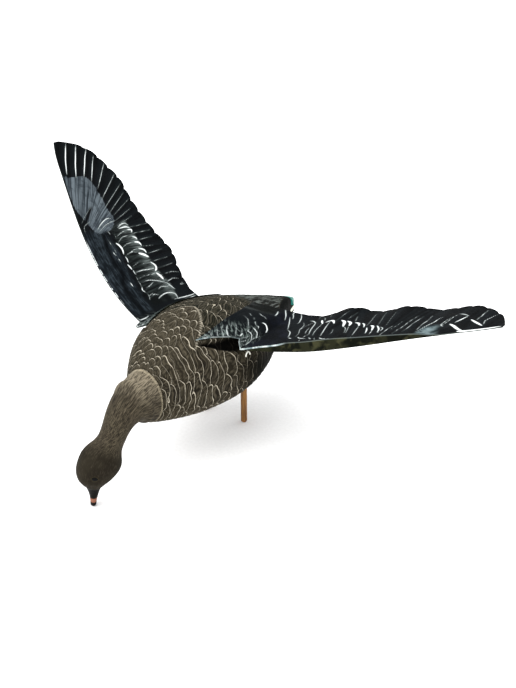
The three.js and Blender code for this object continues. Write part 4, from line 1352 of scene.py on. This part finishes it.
def braided_cord():
    """Braided polyester cord: off white, fibres 0.3 mm across drawn at 0.5 mm, slightly soiled."""
    material, put, _ = new_material("braided_polyester_cord", {})
    place = put("place")
    fibres = put("noise", place, per(0.5), 2.0)
    white = put("over", put("ease", put("noise", place, per(4), 3.0), 0.4, 0.7), "#e6e6df", "#b9b7ab")
    white = put("over", put("times", put("ease", fibres, 0.6, 0.4), 0.35), white, "#8f8e84")
    rough = put("ease", fibres, 0.3, 0.7, 0.75, 0.9)
    put("output", put("surface", white, rough, put("bump", fibres, 0.5, 0.0003), 1.5, 0.3))
    return material


def teal_plastic():
    """Moulded ABS in teal with a satin face and the fine grain of its mould."""
    material, put, _ = new_material("satin_teal_abs", {})
    place = put("place")
    grain = put("noise", place, per(0.8), 2.0)
    teal = put("over", put("ease", put("noise", place, per(9), 3.0), 0.35, 0.65), "#0d5f55", "#127568")
    rough = put("ease", grain, 0.3, 0.7, 0.4, 0.52)
    put("output", put("surface", teal, rough, put("bump", grain, 0.25, 0.0002), 1.54, 0.35))
    return material


def studio_floor():
    """Matt white paper sweep, with the faint tooth of its surface."""
    material, put, _ = new_material("white_paper_sweep", {})
    tooth = put("noise", put("place"), per(6), 3.0)
    paper = put("over", put("ease", tooth, 0.3, 0.7), "#fafafa", "#ffffff")
    put("output", put("surface", paper, 0.9, (0.0, 0.0, 0.0), 1.5, 0.3))
    return material


# Putting the decoy together

# The camera stands as the photograph's did: place in mm, degrees down, degrees round, and the lens
# and the sensor in mm
CAMERA_PLACE = [961.496, -1134.4, 979.584]
CAMERA_DOWN = 26.3346
CAMERA_ROUND = 32.9128
CAMERA_LENS = 52.33
CAMERA_SENSOR = 36
SURROUND_BRIGHTNESS = 1.4
# Name, turn in degrees, softness in degrees and strength of each light
LIGHTS = (("key", (35, 0, -30), 65, 2.2), ("back", (-35, 0, 30), 90, 0.6))
# Half the paper's width, in metres
FLOOR_HALF = 9.0


def dress(piece, material, slot, *nodes):
    """Give a piece its material, and say what it rides on and what it replaces. The slot is not used.
    """
    piece.data.materials.append(material)
    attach(piece, "root")
    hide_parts(*nodes)
    return piece


camera_data = bpy.data.cameras.new("camera")
camera_data.sensor_width = CAMERA_SENSOR
camera_data.lens = CAMERA_LENS
camera = place_in_scene("camera", camera_data)
camera.location = to_frame(CAMERA_PLACE)
camera.rotation_euler = (math.radians(90 - CAMERA_DOWN), 0, math.radians(CAMERA_ROUND))
bpy.context.scene.camera = camera

dress(make_body(), painted_body(), "body_paint", "body")
dress(make_head_and_neck(), painted_neck(), "neck_paint", "head_and_neck")
dress(make_tail_cap(), teal_plastic(), "tail_cap", "tail_cap")
cloth_material, wood_material, cord_material = printed_cloth(), oiled_pine(), braided_cord()
for wing_name, wing_side in (("left", 1), ("right", -1)):
    cloth, area = make_wing(wing_name)
    dress(cloth, cloth_material, "wing_cloth", "wing_" + wing_name)
    dress(make_peg(wing_name, wing_side), wood_material, "peg_wood", "peg_" + wing_name)
dress(make_tie("left", 1), cord_material, "tie_cord", "wing_tie_left")

# Floor, light and surroundings

floor_mesh = bpy.data.meshes.new("floor")
floor_corners = [(x * FLOOR_HALF, y * FLOOR_HALF, 0) for x, y in ((-1, -1), (1, -1), (1, 1), (-1, 1))]
floor_mesh.from_pydata(floor_corners, [], [[0, 1, 2, 3]])
floor_mesh.materials.append(studio_floor())
floor = place_in_scene("floor", floor_mesh)

world = bpy.data.worlds.new("studio")
world.use_nodes = True
surround = world.node_tree.nodes["Background"]
surround.inputs["Color"].default_value = (1, 1, 1, 1)
surround.inputs["Strength"].default_value = SURROUND_BRIGHTNESS
bpy.context.scene.world = world
bpy.context.scene.view_settings.view_transform = "Standard"

for name, turn, softness, power in LIGHTS:
    light_data = bpy.data.lights.new(name, "SUN")
    light_data.angle = math.radians(softness)
    light_data.energy = power
    place_in_scene(name, light_data).rotation_euler = [math.radians(part) for part in turn]
